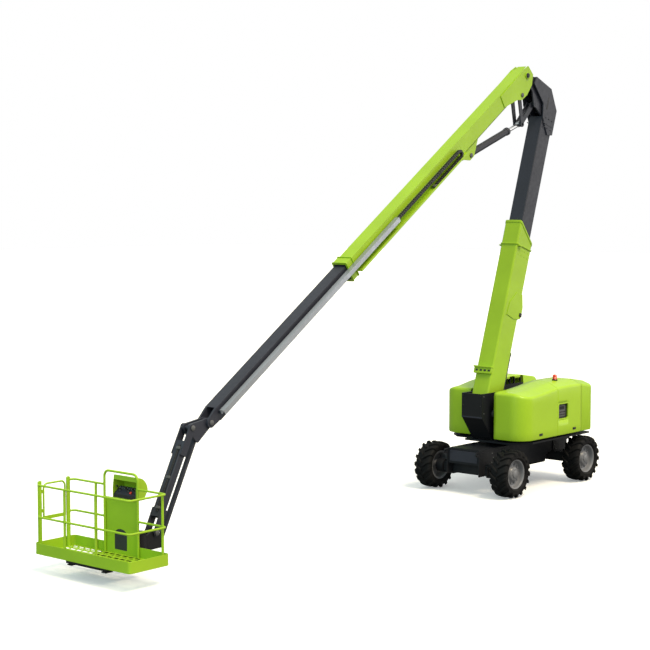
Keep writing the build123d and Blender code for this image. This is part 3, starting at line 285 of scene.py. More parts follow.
def on_plane(outline: Array, origin: Array, right: Array, up: Array) -> Array:
    """Outline points (a, b) set in space: origin + a right + b up."""
    return origin + outline[:, :1] * right + outline[:, 1:] * up


def plate(outline: Array, origin: Array, right: Array, up: Array, depth: float) -> Surface:
    """Flat plate: the outline set on two unit directions and carried square to them by its depth.

    Args:
        outline: m x 2 points (a, b).
        origin: where (0, 0) lies.
        right: direction of a.
        up: direction of b.
        depth: thickness along right x up.

    Returns:
        The closed plate.
    """
    face = on_plane(outline, origin, right, up)
    return sheet_of(np.stack([face, face + depth * np.cross(right, up)]), around=True, caps=True)


def ring_between(outer: Array, inner: Array, step: Array) -> Surface:
    """Closed ring between two loops of equal count, carried by a step."""
    return sheet_of(np.stack([outer, outer + step, inner + step, inner]), around=True, along=True)


def ring_plate(outer: Array, inner: Array, origin: Array, right: Array, up: Array, depth: float) -> Surface:
    """Flat ring between two outlines of equal count, carried square to its plane by its depth.

    Args:
        outer: m x 2 points (a, b).
        inner: m x 2 points of the opening.
        origin: where (0, 0) lies.
        right: unit direction of a.
        up: unit direction of b.
        depth: thickness along right x up.

    Returns:
        The closed ring.
    """
    loops = [on_plane(edge, origin, right, up) for edge in (outer, inner)]
    return ring_between(*loops, depth * np.cross(right, up))


def blocks(centres: Array, ex: Array, ey: Array, ez: Array, size: tuple) -> Surface:
    """Boxes about centres: corner = centre +/- a/2 ex +/- b/2 ey +/- c/2 ez.

    Args:
        centres: one middle, or n x 3 middles.
        ex: first direction, one for all or one for each.
        ey: second direction.
        ez: third direction.
        size: full sizes a, b and c.

    Returns:
        All the boxes as one surface.
    """
    centres = np.atleast_2d(centres)
    signs = np.array([[i, j, k] for i in (-1, 1) for j in (-1, 1) for k in (-1, 1)]) * np.asarray(size) / 2
    axes = np.stack([np.broadcast_to(e, centres.shape) for e in (ex, ey, ez)], axis=1)
    corners = centres[:, None] + np.einsum("kj,njd->nkd", signs, axes)
    box = np.array([[0, 1, 3, 2], [4, 6, 7, 5], [0, 4, 5, 1], [2, 3, 7, 6], [0, 2, 6, 4], [1, 5, 7, 3]])
    faces = (box[None] + 8 * np.arange(len(centres))[:, None, None]).reshape(-1, 4)
    return Surface(corners.reshape(-1, 3), faces.tolist())


def seats_on(origin: Array, right: Array, up: Array, across: tuple, along: tuple) -> Array:
    """Grid of seats on a plane: origin + a right + b up, for each a and then each b.

    Args:
        origin: where (0, 0) lies.
        right: direction of a.
        up: direction of b.
        across: every a.
        along: every b.

    Returns:
        n x 3 seats.
    """
    a, b = np.meshgrid(across, along, indexing="ij")
    return on_plane(np.stack([a.ravel(), b.ravel()], axis=1), origin, right, up)


def seats_round(centre: Array, right: Array, up: Array, radius: float, count: int) -> Array:
    """Seats at equal steps round a circle: centre + r (cos a right + sin a up)."""
    return on_plane(circle(radius, count), centre, right, up)


def bolt_heads(centres: Array, axis: Array, kind: Head) -> Surface:
    """Heads with a chamfered crown, one at each centre, standing along an axis.

    Args:
        centres: n x 3 seats.
        axis: outward direction.
        kind: size and number of sides of a head.

    Returns:
        All the heads as one surface.
    """
    radius, height, sides = kind.value
    profile = np.array([[radius, 0], [radius, 0.72 * height], [0.8 * radius, height]])
    head = turned(profile, np.zeros(3), axis, sides)
    return joined([head.moved(centre) for centre in centres])


# Finishes

@dataclass(frozen=True)
class Finish:
    """One material: its colour, gloss and the drift and grain that break them up."""

    slot: str
    colour: tuple
    roughness: float
    metallic: float = 0.0
    coat: float = 0.0
    drift: float = 0.06
    drift_scale: float = 1.4
    grain: float = 0.05
    grain_scale: float = 260.0
    dust: float = 0.0
    dust_height: float = 1.2
    specular: float = 0.5


DUST_COLOUR = (0.30, 0.27, 0.23, 1.0)
COAT_ROUGHNESS = 0.12
GRAIN_DEPTH = 0.002
NOISE_SPAN = (0.3, 0.7)
GLOSS_SPAN = (0.86, 1.16)
FINE_RATIO = 9.0
PATCH_SCALE = 5.0
PATCH_SPAN = (0.38, 0.68)
MERGE_DISTANCE = 1e-6
BEVEL_SEGMENTS = 2
BEVEL_ANGLE = 35
# Sockets of a Mix node that mixes colours.
MIX_SHARE, MIX_FIRST, MIX_SECOND, MIX_RESULT = 0, 6, 7, 2
FINISHES = (
    Finish("lime_paint", (0.325, 0.520, 0.020), 0.42, coat=0.05, grain=0.02, specular=0.3),
    Finish("lime_cover", (0.365, 0.580, 0.022), 0.38, coat=0.1, drift=0.04, grain=0.0, specular=0.3),
    Finish("lime_casting", (0.335, 0.555, 0.018), 0.42, coat=0.05, grain=0.08, grain_scale=90, specular=0.3),
    Finish("charcoal_paint", (0.026, 0.028, 0.042), 0.44, drift=0.12, specular=0.4),
    Finish("frame_paint", (0.012, 0.013, 0.017), 0.46, drift=0.14, dust=0.06, dust_height=1.0, specular=0.2),
    Finish("black_paint", (0.010, 0.010, 0.012), 0.45, drift=0.12, specular=0.25),
    Finish("machinery_grey", (0.11, 0.11, 0.115), 0.5, metallic=0.4, drift=0.2),
    Finish("chrome_rod", (0.80, 0.81, 0.84), 0.14, metallic=1.0, drift=0.03, grain=0.015),
    Finish("black_plastic", (0.012, 0.012, 0.014), 0.5, drift=0.1, grain=0.15),
    Finish("bare_tube", (0.36, 0.38, 0.42), 0.36, metallic=0.6, drift=0.05, grain=0.04),
    Finish("beacon_lens", (0.80, 0.035, 0.012), 0.18, coat=0.6, drift=0.03, grain=0.02),
    Finish("tyre_rubber", (0.008, 0.008, 0.009), 0.66, drift=0.25, grain=0.3, dust=0.03, specular=0.12),
    Finish("rim_paint", (0.17, 0.175, 0.195), 0.4, coat=0.1, dust=0.05, dust_height=0.7),
)


def new_group(name: str, inputs: dict, outputs: dict) -> bpy.types.NodeTree:
    """Empty shader node group with named sockets.

    Args:
        name: the group's name.
        inputs: socket name to socket type.
        outputs: socket name to socket type.

    Returns:
        The group, with its input and output nodes named "in" and "out".
    """
    group = bpy.data.node_groups.new(name, "ShaderNodeTree")
    for direction, sockets in (("INPUT", inputs), ("OUTPUT", outputs)):
        for socket, kind in sockets.items():
            group.interface.new_socket(socket, in_out=direction, socket_type=kind)
    group.nodes.new("NodeGroupInput").name = "in"
    group.nodes.new("NodeGroupOutput").name = "out"
    return group


def feed(tree: bpy.types.NodeTree, socket: bpy.types.NodeSocket, source: object) -> None:
    """Links an input to a source socket, or sets it where the source is a plain value.

    Args:
        tree: node tree of the input.
        socket: the input.
        source: a socket, number or colour.
    """
    if isinstance(source, bpy.types.NodeSocket):
        tree.links.new(source, socket)
    else:
        socket.default_value = source


def noise_into(tree: bpy.types.NodeTree, vector: object, scale: object, detail: float) -> object:
    """Noise texture's value, its scale a socket or a number.

    Args:
        tree: node tree to add to.
        vector: socket of the coordinates.
        scale: the scale.
        detail: octaves.

    Returns:
        The value socket.
    """
    noise = tree.nodes.new("ShaderNodeTexNoise")
    for name, source in (("Vector", vector), ("Scale", scale), ("Detail", detail)):
        feed(tree, noise.inputs[name], source)
    return noise.outputs[0]


def ranged(tree: bpy.types.NodeTree, value: object, source: tuple, target: tuple) -> object:
    """Map Range node from one span to another, fed by a value.

    Args:
        tree: node tree to add to.
        value: socket of the value.
        source: lowest and highest value read.
        target: lowest and highest value given, each a socket or a number.

    Returns:
        The value socket.
    """
    node = tree.nodes.new("ShaderNodeMapRange")
    names = ("Value", "From Min", "From Max", "To Min", "To Max")
    for name, given in zip(names, (value, *source, *target)):
        feed(tree, node.inputs[name], given)
    return node.outputs[0]


def maths(tree: bpy.types.NodeTree, operation: str, first: object, second: object) -> object:
    """Math node of two inputs, each a socket or a number.

    Args:
        tree: node tree to add to.
        operation: Blender's name of the operation.
        first: first input.
        second: second input.

    Returns:
        The value socket.
    """
    node = tree.nodes.new("ShaderNodeMath")
    node.operation = operation
    for socket, source in zip(node.inputs, (first, second)):
        feed(tree, socket, source)
    return node.outputs[0]


def blended(tree: bpy.types.NodeTree, mode: str, share: object, first: object, second: object) -> object:
    """Colour Mix node, each input a socket or a value.

    Args:
        tree: node tree to add to.
        mode: Blender's name of the blend.
        share: how much of the second.
        first: first colour.
        second: second colour.

    Returns:
        The colour socket.
    """
    node = tree.nodes.new("ShaderNodeMix")
    node.data_type = "RGBA"
    node.blend_type = mode
    for index, source in ((MIX_SHARE, share), (MIX_FIRST, first), (MIX_SECOND, second)):
        feed(tree, node.inputs[index], source)
    return node.outputs[MIX_RESULT]


def seen_and_cast(tree: bpy.types.NodeTree, seen: bpy.types.Node, cast: bpy.types.Node, sink: str) -> None:
    """Gives camera rays one shader and all other rays another.

    Args:
        tree: node tree to add to.
        seen: shader that the camera sees.
        cast: shader that lights and mirrors see.
        sink: name of the output node.
    """
    either = tree.nodes.new("ShaderNodeMixShader")
    tree.links.new(tree.nodes.new("ShaderNodeLightPath").outputs["Is Camera Ray"], either.inputs[0])
    tree.links.new(cast.outputs[0], either.inputs[1])
    tree.links.new(seen.outputs[0], either.inputs[2])
    tree.links.new(either.outputs[0], tree.nodes[sink].inputs[0])


def drift_group() -> bpy.types.NodeTree:
    """Colour drift: the colour times 1 - drift to 1 + drift by broad noise, with the gloss following."""
    number, colour = "NodeSocketFloat", "NodeSocketColor"
    group = new_group(
        "colour_drift",
        {"Vector": "NodeSocketVector", "Colour": colour, "Drift": number, "Scale": number, "Gloss": number},
        {"Colour": colour, "Roughness": number},
    )
    source, sink = group.nodes["in"].outputs, group.nodes["out"].inputs
    broad = noise_into(group, source["Vector"], source["Scale"], detail=5.0)
    low, high = (maths(group, way, 1.0, source["Drift"]) for way in ("SUBTRACT", "ADD"))
    spread = ranged(group, broad, NOISE_SPAN, (low, high))
    group.links.new(blended(group, "MULTIPLY", 1.0, source["Colour"], spread), sink["Colour"])
    fine_scale = maths(group, "MULTIPLY", source["Scale"], FINE_RATIO)
    fine = noise_into(group, source["Vector"], fine_scale, detail=3.0)
    sheen = ranged(group, fine, NOISE_SPAN, GLOSS_SPAN)
    group.links.new(maths(group, "MULTIPLY", source["Gloss"], sheen), sink["Roughness"])
    return group


def grain_group() -> bpy.types.NodeTree:
    """Surface grain: fine noise as a bump."""
    number = "NodeSocketFloat"
    group = new_group(
        "surface_grain",
        {"Vector": "NodeSocketVector", "Scale": number, "Strength": number},
        {"Normal": "NodeSocketVector"},
    )
    source, sink = group.nodes["in"].outputs, group.nodes["out"].inputs
    bump = group.nodes.new("ShaderNodeBump")
    bump.inputs["Distance"].default_value = GRAIN_DEPTH
    height = noise_into(group, source["Vector"], source["Scale"], detail=4.0)
    group.links.new(height, bump.inputs["Height"])
    group.links.new(source["Strength"], bump.inputs["Strength"])
    group.links.new(bump.outputs[0], sink["Normal"])
    return group


def dust_group() -> bpy.types.NodeTree:
    """Dust: a patchy share of dust colour that fades out with height above the ground."""
    number, colour = "NodeSocketFloat", "NodeSocketColor"
    group = new_group(
        "ground_dust",
        {"Vector": "NodeSocketVector", "Colour": colour, "Dust": colour, "Amount": number, "Height": number},
        {"Colour": colour},
    )
    source, sink = group.nodes["in"].outputs, group.nodes["out"].inputs
    split = group.nodes.new("ShaderNodeSeparateXYZ")
    group.links.new(source["Vector"], split.inputs[0])
    height = maths(group, "DIVIDE", split.outputs["Z"], source["Height"])
    fade = ranged(group, height, (0.0, 1.0), (1.0, 0.0))
    cloud = noise_into(group, source["Vector"], PATCH_SCALE, detail=6.0)
    patches = ranged(group, cloud, PATCH_SPAN, (0.0, 1.0))
    faded = maths(group, "MULTIPLY", fade, patches)
    share = maths(group, "MULTIPLY", faded, source["Amount"])
    group.links.new(blended(group, "MIX", share, source["Colour"], source["Dust"]), sink["Colour"])
    return group


class PaintShop:
    """Builds the node groups once and one material for each finish."""

    def __init__(self) -> None:
        """Makes the shared groups and every material."""
        self.drift = drift_group()
        self.grain = grain_group()
        self.dust = dust_group()
        self.materials = {finish.slot: self.material(finish) for finish in FINISHES}

    def place(
        self, tree: bpy.types.NodeTree, group: bpy.types.NodeTree, vector: object, **values: object
    ) -> bpy.types.Node:
        """Group node in a material, its vector linked and its values set.

        Args:
            tree: the material's node tree.
            group: the node group.
            vector: socket of the coordinates.
            values: input name to number, colour or socket.

        Returns:
            The group node.
        """
        node = tree.nodes.new("ShaderNodeGroup")
        node.node_tree = group
        tree.links.new(vector, node.inputs["Vector"])
        for name, value in values.items():
            feed(tree, node.inputs[name], value)
        return node

    def material(self, finish: Finish) -> bpy.types.Material:
        """Material of one finish: drift, grain and dust into a Principled shader.

        Args:
            finish: its values.

        Returns:
            The material, named for its slot.
        """
        material = bpy.data.materials.new(finish.slot + "_finish")
        material.use_nodes = True
        tree = material.node_tree
        shader = tree.nodes["Principled BSDF"]
        where = tree.nodes.new("ShaderNodeTexCoord").outputs["Object"]
        drift = self.place(
            tree, self.drift, where, Colour=(*finish.colour, 1.0), Drift=finish.drift,
            Scale=finish.drift_scale, Gloss=finish.roughness,
        )
        colour = drift.outputs["Colour"]
        if finish.dust > 0:
            dusty = self.place(
                tree, self.dust, where, Colour=colour, Dust=DUST_COLOUR,
                Amount=finish.dust, Height=finish.dust_height,
            )
            colour = dusty.outputs["Colour"]
        grain = self.place(tree, self.grain, where, Scale=finish.grain_scale, Strength=finish.grain)
        tree.links.new(colour, shader.inputs["Base Color"])
        tree.links.new(drift.outputs["Roughness"], shader.inputs["Roughness"])
        tree.links.new(grain.outputs["Normal"], shader.inputs["Normal"])
        shader.inputs["Metallic"].default_value = finish.metallic
        shader.inputs["Specular IOR Level"].default_value = finish.specular
        shader.inputs["Coat Weight"].default_value = finish.coat
        shader.inputs["Coat Roughness"].default_value = COAT_ROUGHNESS
        return material

    def dress_nodes(self) -> None:
        """Gives every solid of the frame the material of its slot."""
        for node, solid in frame["nodes"].items():
            solid.data.materials.clear()
            solid.data.materials.append(self.materials[NODE_SLOT[node]])

    def piece(
        self, name: str, surface: Surface, body: str, slot: str,
        bevel: float = 0.0, crease: float = 40.0, replaces: tuple = (), outward: bool = False,
    ) -> bpy.types.Object:
        """Turns a surface into a finished piece that rides on a body.

        Args:
            name: the piece's name.
            surface: its mesh.
            body: CAD body that it moves with.
            slot: material slot.
            bevel: width of the rounding on its edges, none at 0.
            crease: angle in degrees past which an edge stays sharp.
            replaces: CAD nodes that it stands for.
            outward: whether the faces of an open sheet already point the right way.

        Returns:
            The object.
        """
        mesh = bpy.data.meshes.new(name)
        mesh.from_pydata(surface.points.tolist(), [], surface.faces)
        work = bmesh.new()
        work.from_mesh(mesh)
        bmesh.ops.remove_doubles(work, verts=work.verts, dist=MERGE_DISTANCE)
        if not outward:
            bmesh.ops.recalc_face_normals(work, faces=work.faces)
        work.to_mesh(mesh)
        work.free()
        mesh.polygons.foreach_set("use_smooth", np.ones(len(mesh.polygons), bool))
        mesh.set_sharp_from_angle(angle=np.radians(crease))
        mesh.materials.append(self.materials[slot])
        thing = bpy.data.objects.new(name, mesh)
        bpy.context.scene.collection.objects.link(thing)
        if bevel > 0:
            rounding = thing.modifiers.new("edges", "BEVEL")
            rounding.width = bevel
            rounding.segments = BEVEL_SEGMENTS
            rounding.limit_method = "ANGLE"
            rounding.angle_limit = np.radians(BEVEL_ANGLE)
        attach(thing, body)
        if replaces:
            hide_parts(*replaces)
        log.info("piece %s: %d faces on %s", name, len(mesh.polygons), body)
        return thing


# Places on the machine

def spot(x: float, y: float, z: float) -> Array:
    """Point measured from the slew axis, in the frame of the part."""
    return np.array([x - MIDDLE, y, z])


def pin_of(joint: str) -> Array:
    """Where a joint's pin stands."""
    return np.array(JOINTS[joint]["pos_m"])


@dataclass(frozen=True)
class BoomLine:
    """Side view of a boom: its pin, the direction along it and the direction square to that."""

    pin: Array
    forward: Array
    square: Array

    @classmethod
    def from_pin(cls, joint: str, angle: float, lift: int = 1) -> "BoomLine":
        """Line that starts at a joint's pin.

        Args:
            joint: the joint.
            angle: degrees above straight ahead.
            lift: 1 where square points to the line's upper side, -1 where it points to the lower.

        Returns:
            The line.
        """
        a = np.radians(angle)
        forward = np.array([np.cos(a), 0, np.sin(a)])
        return cls(pin_of(joint), forward, lift * np.array([-np.sin(a), 0, np.cos(a)]))

    def at(self, along: float, off: float, y: float = 0.0) -> Array:
        """Point along the line, off it by a distance, y to the left."""
        return self.pin + along * self.forward + off * self.square + y * LEFTWARD

    def bars(self, centres: Array, size: tuple) -> Surface:
        """Boxes set along, across and square to the line."""
        return blocks(centres, self.forward, LEFTWARD, self.square, size)

    def side_seats(self, y: float, along: tuple, off: tuple) -> Array:
        """Grid of seats on a side of the boom."""
        return seats_on(self.at(0, 0, y), self.forward, self.square, along, off)


# Sub-assemblies

@dataclass
class Wheels:
    """Four lugged tyres on dished rims."""

    shop: PaintShop
    radius: float = 0.530
    half_width: float = 0.220
    tyre_sides: int = 72
    lug_count: int = 17
    lug_sweep: float = 0.30
    lug_flare: float = 0.012
    rim_sides: int = 64
    nut_count: int = 10
    nut_circle: float = 0.207
    nut_seat: float = 0.060
    hub_circle: float = 0.112
    hub_seat: float = 0.128

    def carcass(self, centre: Array) -> Surface:
        """Tyre body: half a profile and its mirror image as one ring, turned about the axle."""
        half = Profile.HALF_TYRE.points
        return turned(np.vstack([half, half[-2::-1] * [1, -1]]), centre, LEFTWARD, self.tyre_sides, loop=True)

    def lugs(self, centre: Array) -> Surface:
        """Chevron lugs: r and y follow u from the middle to the shoulder, the angle leads by sweep x u.

        Args:
            centre: the wheel's middle.

        Returns:
            Both rows of lugs, each bar tapered from its root to its face.
        """
        u = np.array([0.0, 0.25, 0.5, 0.72, 0.86, 1.0])
        y = np.array([0.008, 0.056, 0.105, 0.152, 0.190, self.half_width])
        top = self.radius - np.array([0.0, 0.0, 0.001, 0.004, 0.016, 0.050])
        root = np.array([0.474, 0.474, 0.472, 0.460, 0.440, 0.414])
        face = np.array([0.021, 0.022, 0.024, 0.027, 0.029, 0.030])
        foot = face + self.lug_flare
        edges = ((root, foot, -1), (top, face, -1), (top, face, 1), (root, foot, 1))
        start = np.linspace(0, 2 * np.pi, self.lug_count, endpoint=False)
        bars = []
        for hand in Hand:
            stagger = 0.0 if hand is Hand.LEFT else np.pi / self.lug_count
            lead = start[:, None] + stagger + self.lug_sweep * u
            ring = []
            for radius, half, sign in edges:
                angle = lead + sign * half / radius
                depth = np.broadcast_to(hand.value * y, angle.shape)
                ring.append(np.stack([radius * np.cos(angle), depth, radius * np.sin(angle)], axis=-1))
            grids = np.stack(ring, axis=2) + centre
            bars += [sheet_of(grid, around=True, caps=True) for grid in grids]
        return joined(bars)

    def rim(self, centre: Array, hand: Hand) -> Surface:
        """Dished rim: flange, deep well, disc and hub turned about the axle, with wheel nuts and hub bolts.

        Args:
            centre: the wheel's middle.
            hand: the wheel's side.

        Returns:
            The rim.
        """
        out = hand.outward
        nuts = seats_round(centre + self.nut_seat * out, AHEAD, UPWARD, self.nut_circle, self.nut_count)
        bolts = seats_round(centre + self.hub_seat * out, AHEAD, UPWARD, self.hub_circle, self.nut_count)
        dish = turned(Profile.RIM.points, centre, out, self.rim_sides)
        return dish + bolt_heads(nuts, out, Head.WHEEL_NUT) + bolt_heads(bolts, out, Head.HUB_BOLT)

    def build(self) -> None:
        """Makes a tyre, its lugs and a rim at each corner."""
        for corner in ("front_left", "front_right", "rear_left", "rear_right"):
            body = f"wheel_{corner}"
            centre = pin_of(f"{body}_spin")
            hand = Hand.LEFT if centre[1] > 0 else Hand.RIGHT
            self.shop.piece(
                f"carcass_{corner}", self.carcass(centre), body, "tyre_rubber", replaces=(f"tyre_{corner}",)
            )
            self.shop.piece(f"lugs_{corner}", self.lugs(centre), body, "tyre_rubber", bevel=0.006, crease=30)
            self.shop.piece(
                f"dish_{corner}", self.rim(centre, hand), body, "rim_paint", replaces=(f"rim_{corner}",)
            )


@dataclass
class Covers:
    """Hoods with a falling nose and a sloped shoulder, the counterweight, window and latches."""

    shop: PaintShop
    nose_left: float = 1.220
    nose_right: float = 0.920
    nose_drop: float = 0.150
    fall_along: tuple = (-0.5, 0.05, 0.05)
    fall_past: float = 0.05
    fall_down: tuple = (0, 0, 0.7, 1)
    rear: float = -1.170
    inner: float = 0.425
    outer: float = 1.220
    bottom: float = 1.200
    top: float = 2.400
    shoulder: float = 0.300
    shoulder_drop: float = 0.105
    corner: float = 0.400
    edge: float = 0.075
    edge_rows: int = 6
    wall: float = 0.012
    wall_heights: tuple = (1.40, 1.75, 2.0)
    hem: tuple = ((0.030, 0.0), (0.010, 0.006), (0.0, 0.030))
    roof_shares: tuple = (0.12, 0.25, 0.4, 0.6, 0.8, 1.0)
    window: tuple = (-0.600, -0.190, 1.570, 1.920)
    window_depth: float = 0.01
    seam: float = -0.150
    seam_half: float = 0.006
    seam_depth: float = 0.007
    tail: float = -1.740
    tail_drop: float = 0.090
    tail_round: float = 0.220
    tail_lip: float = 0.05
    tail_lip_slope: float = 0.6
    tail_gap: float = 0.006
    tail_stops: tuple = (-1.40, -1.25)
    trough_y: tuple = (0.110, 0.330, 0.396, 0.420)
    trough_chamfer: float = 0.030
    trough_floor: float = 1.330
    slot_end: float = -1.590
    slot_step: float = 0.001
    slot_half: float = 0.105
    slot_floor: float = 1.150
    keel_half: float = 0.300
    keel: float = 1.142
    bridge: tuple = (-1.635, 0, 1.240)
    bridge_size: tuple = (0.080, 0.23, 0.17)
    knuckle_starts: tuple = (0.120, 0.560)
    knuckle_span: tuple = (0.001, 0.239)
    knuckle_radius: float = 0.015
    strap_size: tuple = (0.238, 0.048, 0.036)
    latch_x: tuple = (0.53, -0.86)
    latch_z: float = 1.305

    def fall(self, x: Array, front: float) -> Array:
        """Roof's drop along the hood: a cubic Bezier curve from level at the rear to the nose.

        Args:
            x: distance ahead of the slew axis.
            front: where the nose ends.

        Returns:
            Metres below the rear roof.
        """
        t = np.linspace(0, 1, 200)
        weights = np.stack([(1 - t) ** 3, 3 * (1 - t) ** 2 * t, 3 * (1 - t) * t**2, t**3], axis=1)
        along = weights @ np.array([*self.fall_along, front + self.fall_past])
        return np.interp(x, along, self.nose_drop * weights @ np.array(self.fall_down))

    def roof(self, x: Array, y: Array, front: float) -> Array:
        """Roof height: the top, less the nose's fall, less the shoulder's slope towards the side.

        Args:
            x: distance ahead of the slew axis.
            y: distance from the middle.
            front: where the nose ends.

        Returns:
            Heights.
        """
        slope = np.clip((y - self.outer + self.shoulder) / self.shoulder, 0, 1)
        return self.top - self.fall(x, front) - self.shoulder_drop * slope

    def plan(self, front: float, opening: bool) -> tuple:
        """Plan outline of the left hood: across the nose, round the corner and back along the side.

        Args:
            front: where the nose ends.
            opening: whether the seam beside the window has points of its own.

        Returns:
            Outline points and unit inward directions, both n x 2.
        """
        turn = np.linspace(0, np.pi / 2, 13)
        bend = np.stack([np.cos(turn), np.sin(turn)], axis=1)
        nose = np.linspace(self.inner, self.outer - self.corner, 7)[:-1]
        stops = np.linspace(front - self.corner, self.rear, 26)[1:]
        cuts = self.seam + self.seam_half * np.array([-1, 0, 1]) if opening else np.zeros(0)
        run = np.unique(np.concatenate([stops, self.window[:2], cuts]))[::-1]
        across = np.column_stack([np.full(len(nose), front), nose])
        around = np.array([front - self.corner, self.outer - self.corner]) + self.corner * bend
        back = np.column_stack([run, np.full(len(run), self.outer)])
        inward = [np.tile([-1.0, 0.0], (len(nose), 1)), -bend, np.tile([0.0, -1.0], (len(run), 1))]
        return np.vstack([across, around, back]), np.vstack(inward)

    def hood(self, front: float, opening: bool) -> Surface:
        """Left hood's outside: wall rows up the plan outline, a rounded edge, then the roof inwards.

        Args:
            front: where the nose ends.
            opening: whether the window is left open.

        Returns:
            The outside sheet, open below, behind and inside.
        """
        outline, inward = self.plan(front, opening)
        groove = np.where(np.isclose(outline[:, 0], self.seam) & opening, self.seam_depth, 0.0)
        rim = outline + self.edge * inward
        rim[:, 1] = np.maximum(rim[:, 1], self.inner)
        brim = self.roof(*rim.T, front)
        level = np.ones(len(outline))
        walls = [(inset, (self.bottom + lift) * level) for inset, lift in self.hem]
        walls += [(0.0, height * level) for height in sorted(self.wall_heights + self.window[2:])]
        for angle in np.linspace(0, np.pi / 2, self.edge_rows):
            walls.append((self.edge * (1 - np.cos(angle)), brim - self.edge * (1 - np.sin(angle)) - groove))
        rows = [np.column_stack([outline + (inset + groove)[:, None] * inward, z]) for inset, z in walls]
        share = np.cumsum(np.linalg.norm(np.diff(outline, axis=0, prepend=outline[:1]), axis=1))
        spine_x = front - self.edge + share / share[-1] * (self.rear - front + self.edge)
        spine = np.column_stack([spine_x, self.inner * level])
        for part in self.roof_shares:
            row = rim + part * (spine - rim)
            rows.append(np.column_stack([row, self.roof(*row.T, front) - groove]))
        sheet = sheet_of(np.stack(rows) - MIDDLE * AHEAD)
        sheet.faces = [face[::-1] for face in sheet.faces]
        return self.with_window(sheet) if opening else sheet

    def with_window(self, sheet: Surface) -> Surface:
        """The left hood's sheet without the faces inside the window.

        Args:
            sheet: the whole sheet.

        Returns:
            The sheet with its opening.
        """
        x0, x1, z0, z1 = self.window
        x, y, z = (sheet.points[np.array(sheet.faces)].mean(axis=1) + MIDDLE * AHEAD).T
        inside = (x > x0) & (x < x1) & (z > z0) & (z < z1) & (y > self.outer - self.window_depth)
        return Surface(sheet.points, [face for face, gone in zip(sheet.faces, inside) if not gone])

    def shell(self, name: str, surface: Surface, body: str) -> None:
        """Hood sheet as a piece with its wall thickness inside.

        Args:
            name: the piece's name.
            surface: the outside sheet.
            body: CAD body that it moves with, and the node of that name that it stands for.
        """
        thing = self.shop.piece(name, surface, body, "lime_cover", crease=50, replaces=(body,), outward=True)
        wall = thing.modifiers.new("wall", "SOLIDIFY")
        wall.thickness = self.wall
        wall.offset = -1.0
        wall.use_even_offset = True

    def counterweight(self) -> Surface:
        """Casting: half a section carried back while its side rounds in and its top falls, and its mirror.

        Returns:
            The closed casting.
        """
        front = self.rear - self.tail_gap
        back = self.tail + self.tail_round * (1 - np.cos(np.linspace(0, np.pi / 2, 8)))
        x = np.unique([*back, self.slot_end - self.slot_step, self.slot_end, *self.tail_stops, front])
        near = np.clip(self.tail_round - (x - self.tail), 0, self.tail_round)
        side = self.outer - self.tail_round + np.sqrt(np.maximum(self.tail_round**2 - near**2, 0))
        lip = np.clip(self.tail_lip - (x - self.tail), 0, self.tail_lip)
        fall = self.tail_drop * (front - x) / (front - self.tail) + self.tail_lip_slope * lip
        crown = self.top - fall
        floor = np.where(x > self.slot_end - self.slot_step / 2, self.slot_floor, self.trough_floor)
        knee = self.outer - self.shoulder
        brim = crown - self.shoulder_drop * np.clip((side - self.edge - knee) / self.shoulder, 0, 1)
        trough_z = (self.trough_floor, self.trough_floor, crown - self.trough_chamfer, crown)
        section = [(self.slot_half, floor), *zip(self.trough_y, trough_z)]
        section.append((np.minimum(knee, side - 0.12), crown))
        for angle in np.linspace(0, np.pi / 2, self.edge_rows)[::-1]:
            section.append((side - self.edge * (1 - np.cos(angle)), brim - self.edge * (1 - np.sin(angle))))
        section += [(side - inset, self.bottom + lift) for inset, lift in self.hem[::-1]]
        section += [(self.keel_half, self.bottom), (self.keel_half, self.keel), (self.slot_half, self.keel)]
        columns = [np.stack(np.broadcast_arrays(x - MIDDLE, y, z), axis=-1) for y, z in section]
        left = sheet_of(np.stack(columns, axis=1), around=True, caps=True)
        return left + left.mirrored() + blocks(spot(*self.bridge), *SQUARE, self.bridge_size)

    def knuckles(self, hand: Hand) -> None:
        """Makes a hood's two hinge knuckles, each a tube on the hinge line and a strap up to the roof.

        Args:
            hand: the hood's side.
        """
        _, hinge_y, hinge_z = pin_of(f"hood_{hand.side}_open")
        tubes = []
        for start in self.knuckle_starts:
            ends = [spot(self.rear + start + along, hinge_y, hinge_z) for along in self.knuckle_span]
            strap = np.mean(ends, axis=0) + 0.009 * hand.outward + 0.018 * UPWARD
            tubes.append(carried(circle(self.knuckle_radius, 16), np.array(ends)))
            tubes.append(blocks(strap, *SQUARE, self.strap_size))
        self.shop.piece(
            f"hood_knuckles_{hand.side}", joined(tubes), f"hood_{hand.side}", "lime_cover", bevel=0.002
        )

    def latches(self, hand: Hand) -> None:
        """Makes the two latches low on a hood's side, each a plate with a grip.

        Args:
            hand: the hood's side.
        """
        right = -hand.value * AHEAD
        for index, x in enumerate(self.latch_x):
            seat = spot(x, hand.value * (self.outer - 0.004), self.latch_z)
            latch = plate(rounded(0.135, 0.052, 0.014), seat, right, UPWARD, 0.012)
            grip = plate(rounded(0.085, 0.024, 0.010), seat + 0.008 * hand.outward, right, UPWARD, 0.014)
            self.shop.piece(
                f"latch_{hand.side}_{index}", latch + grip, f"hood_{hand.side}", "black_plastic", bevel=0.002
            )

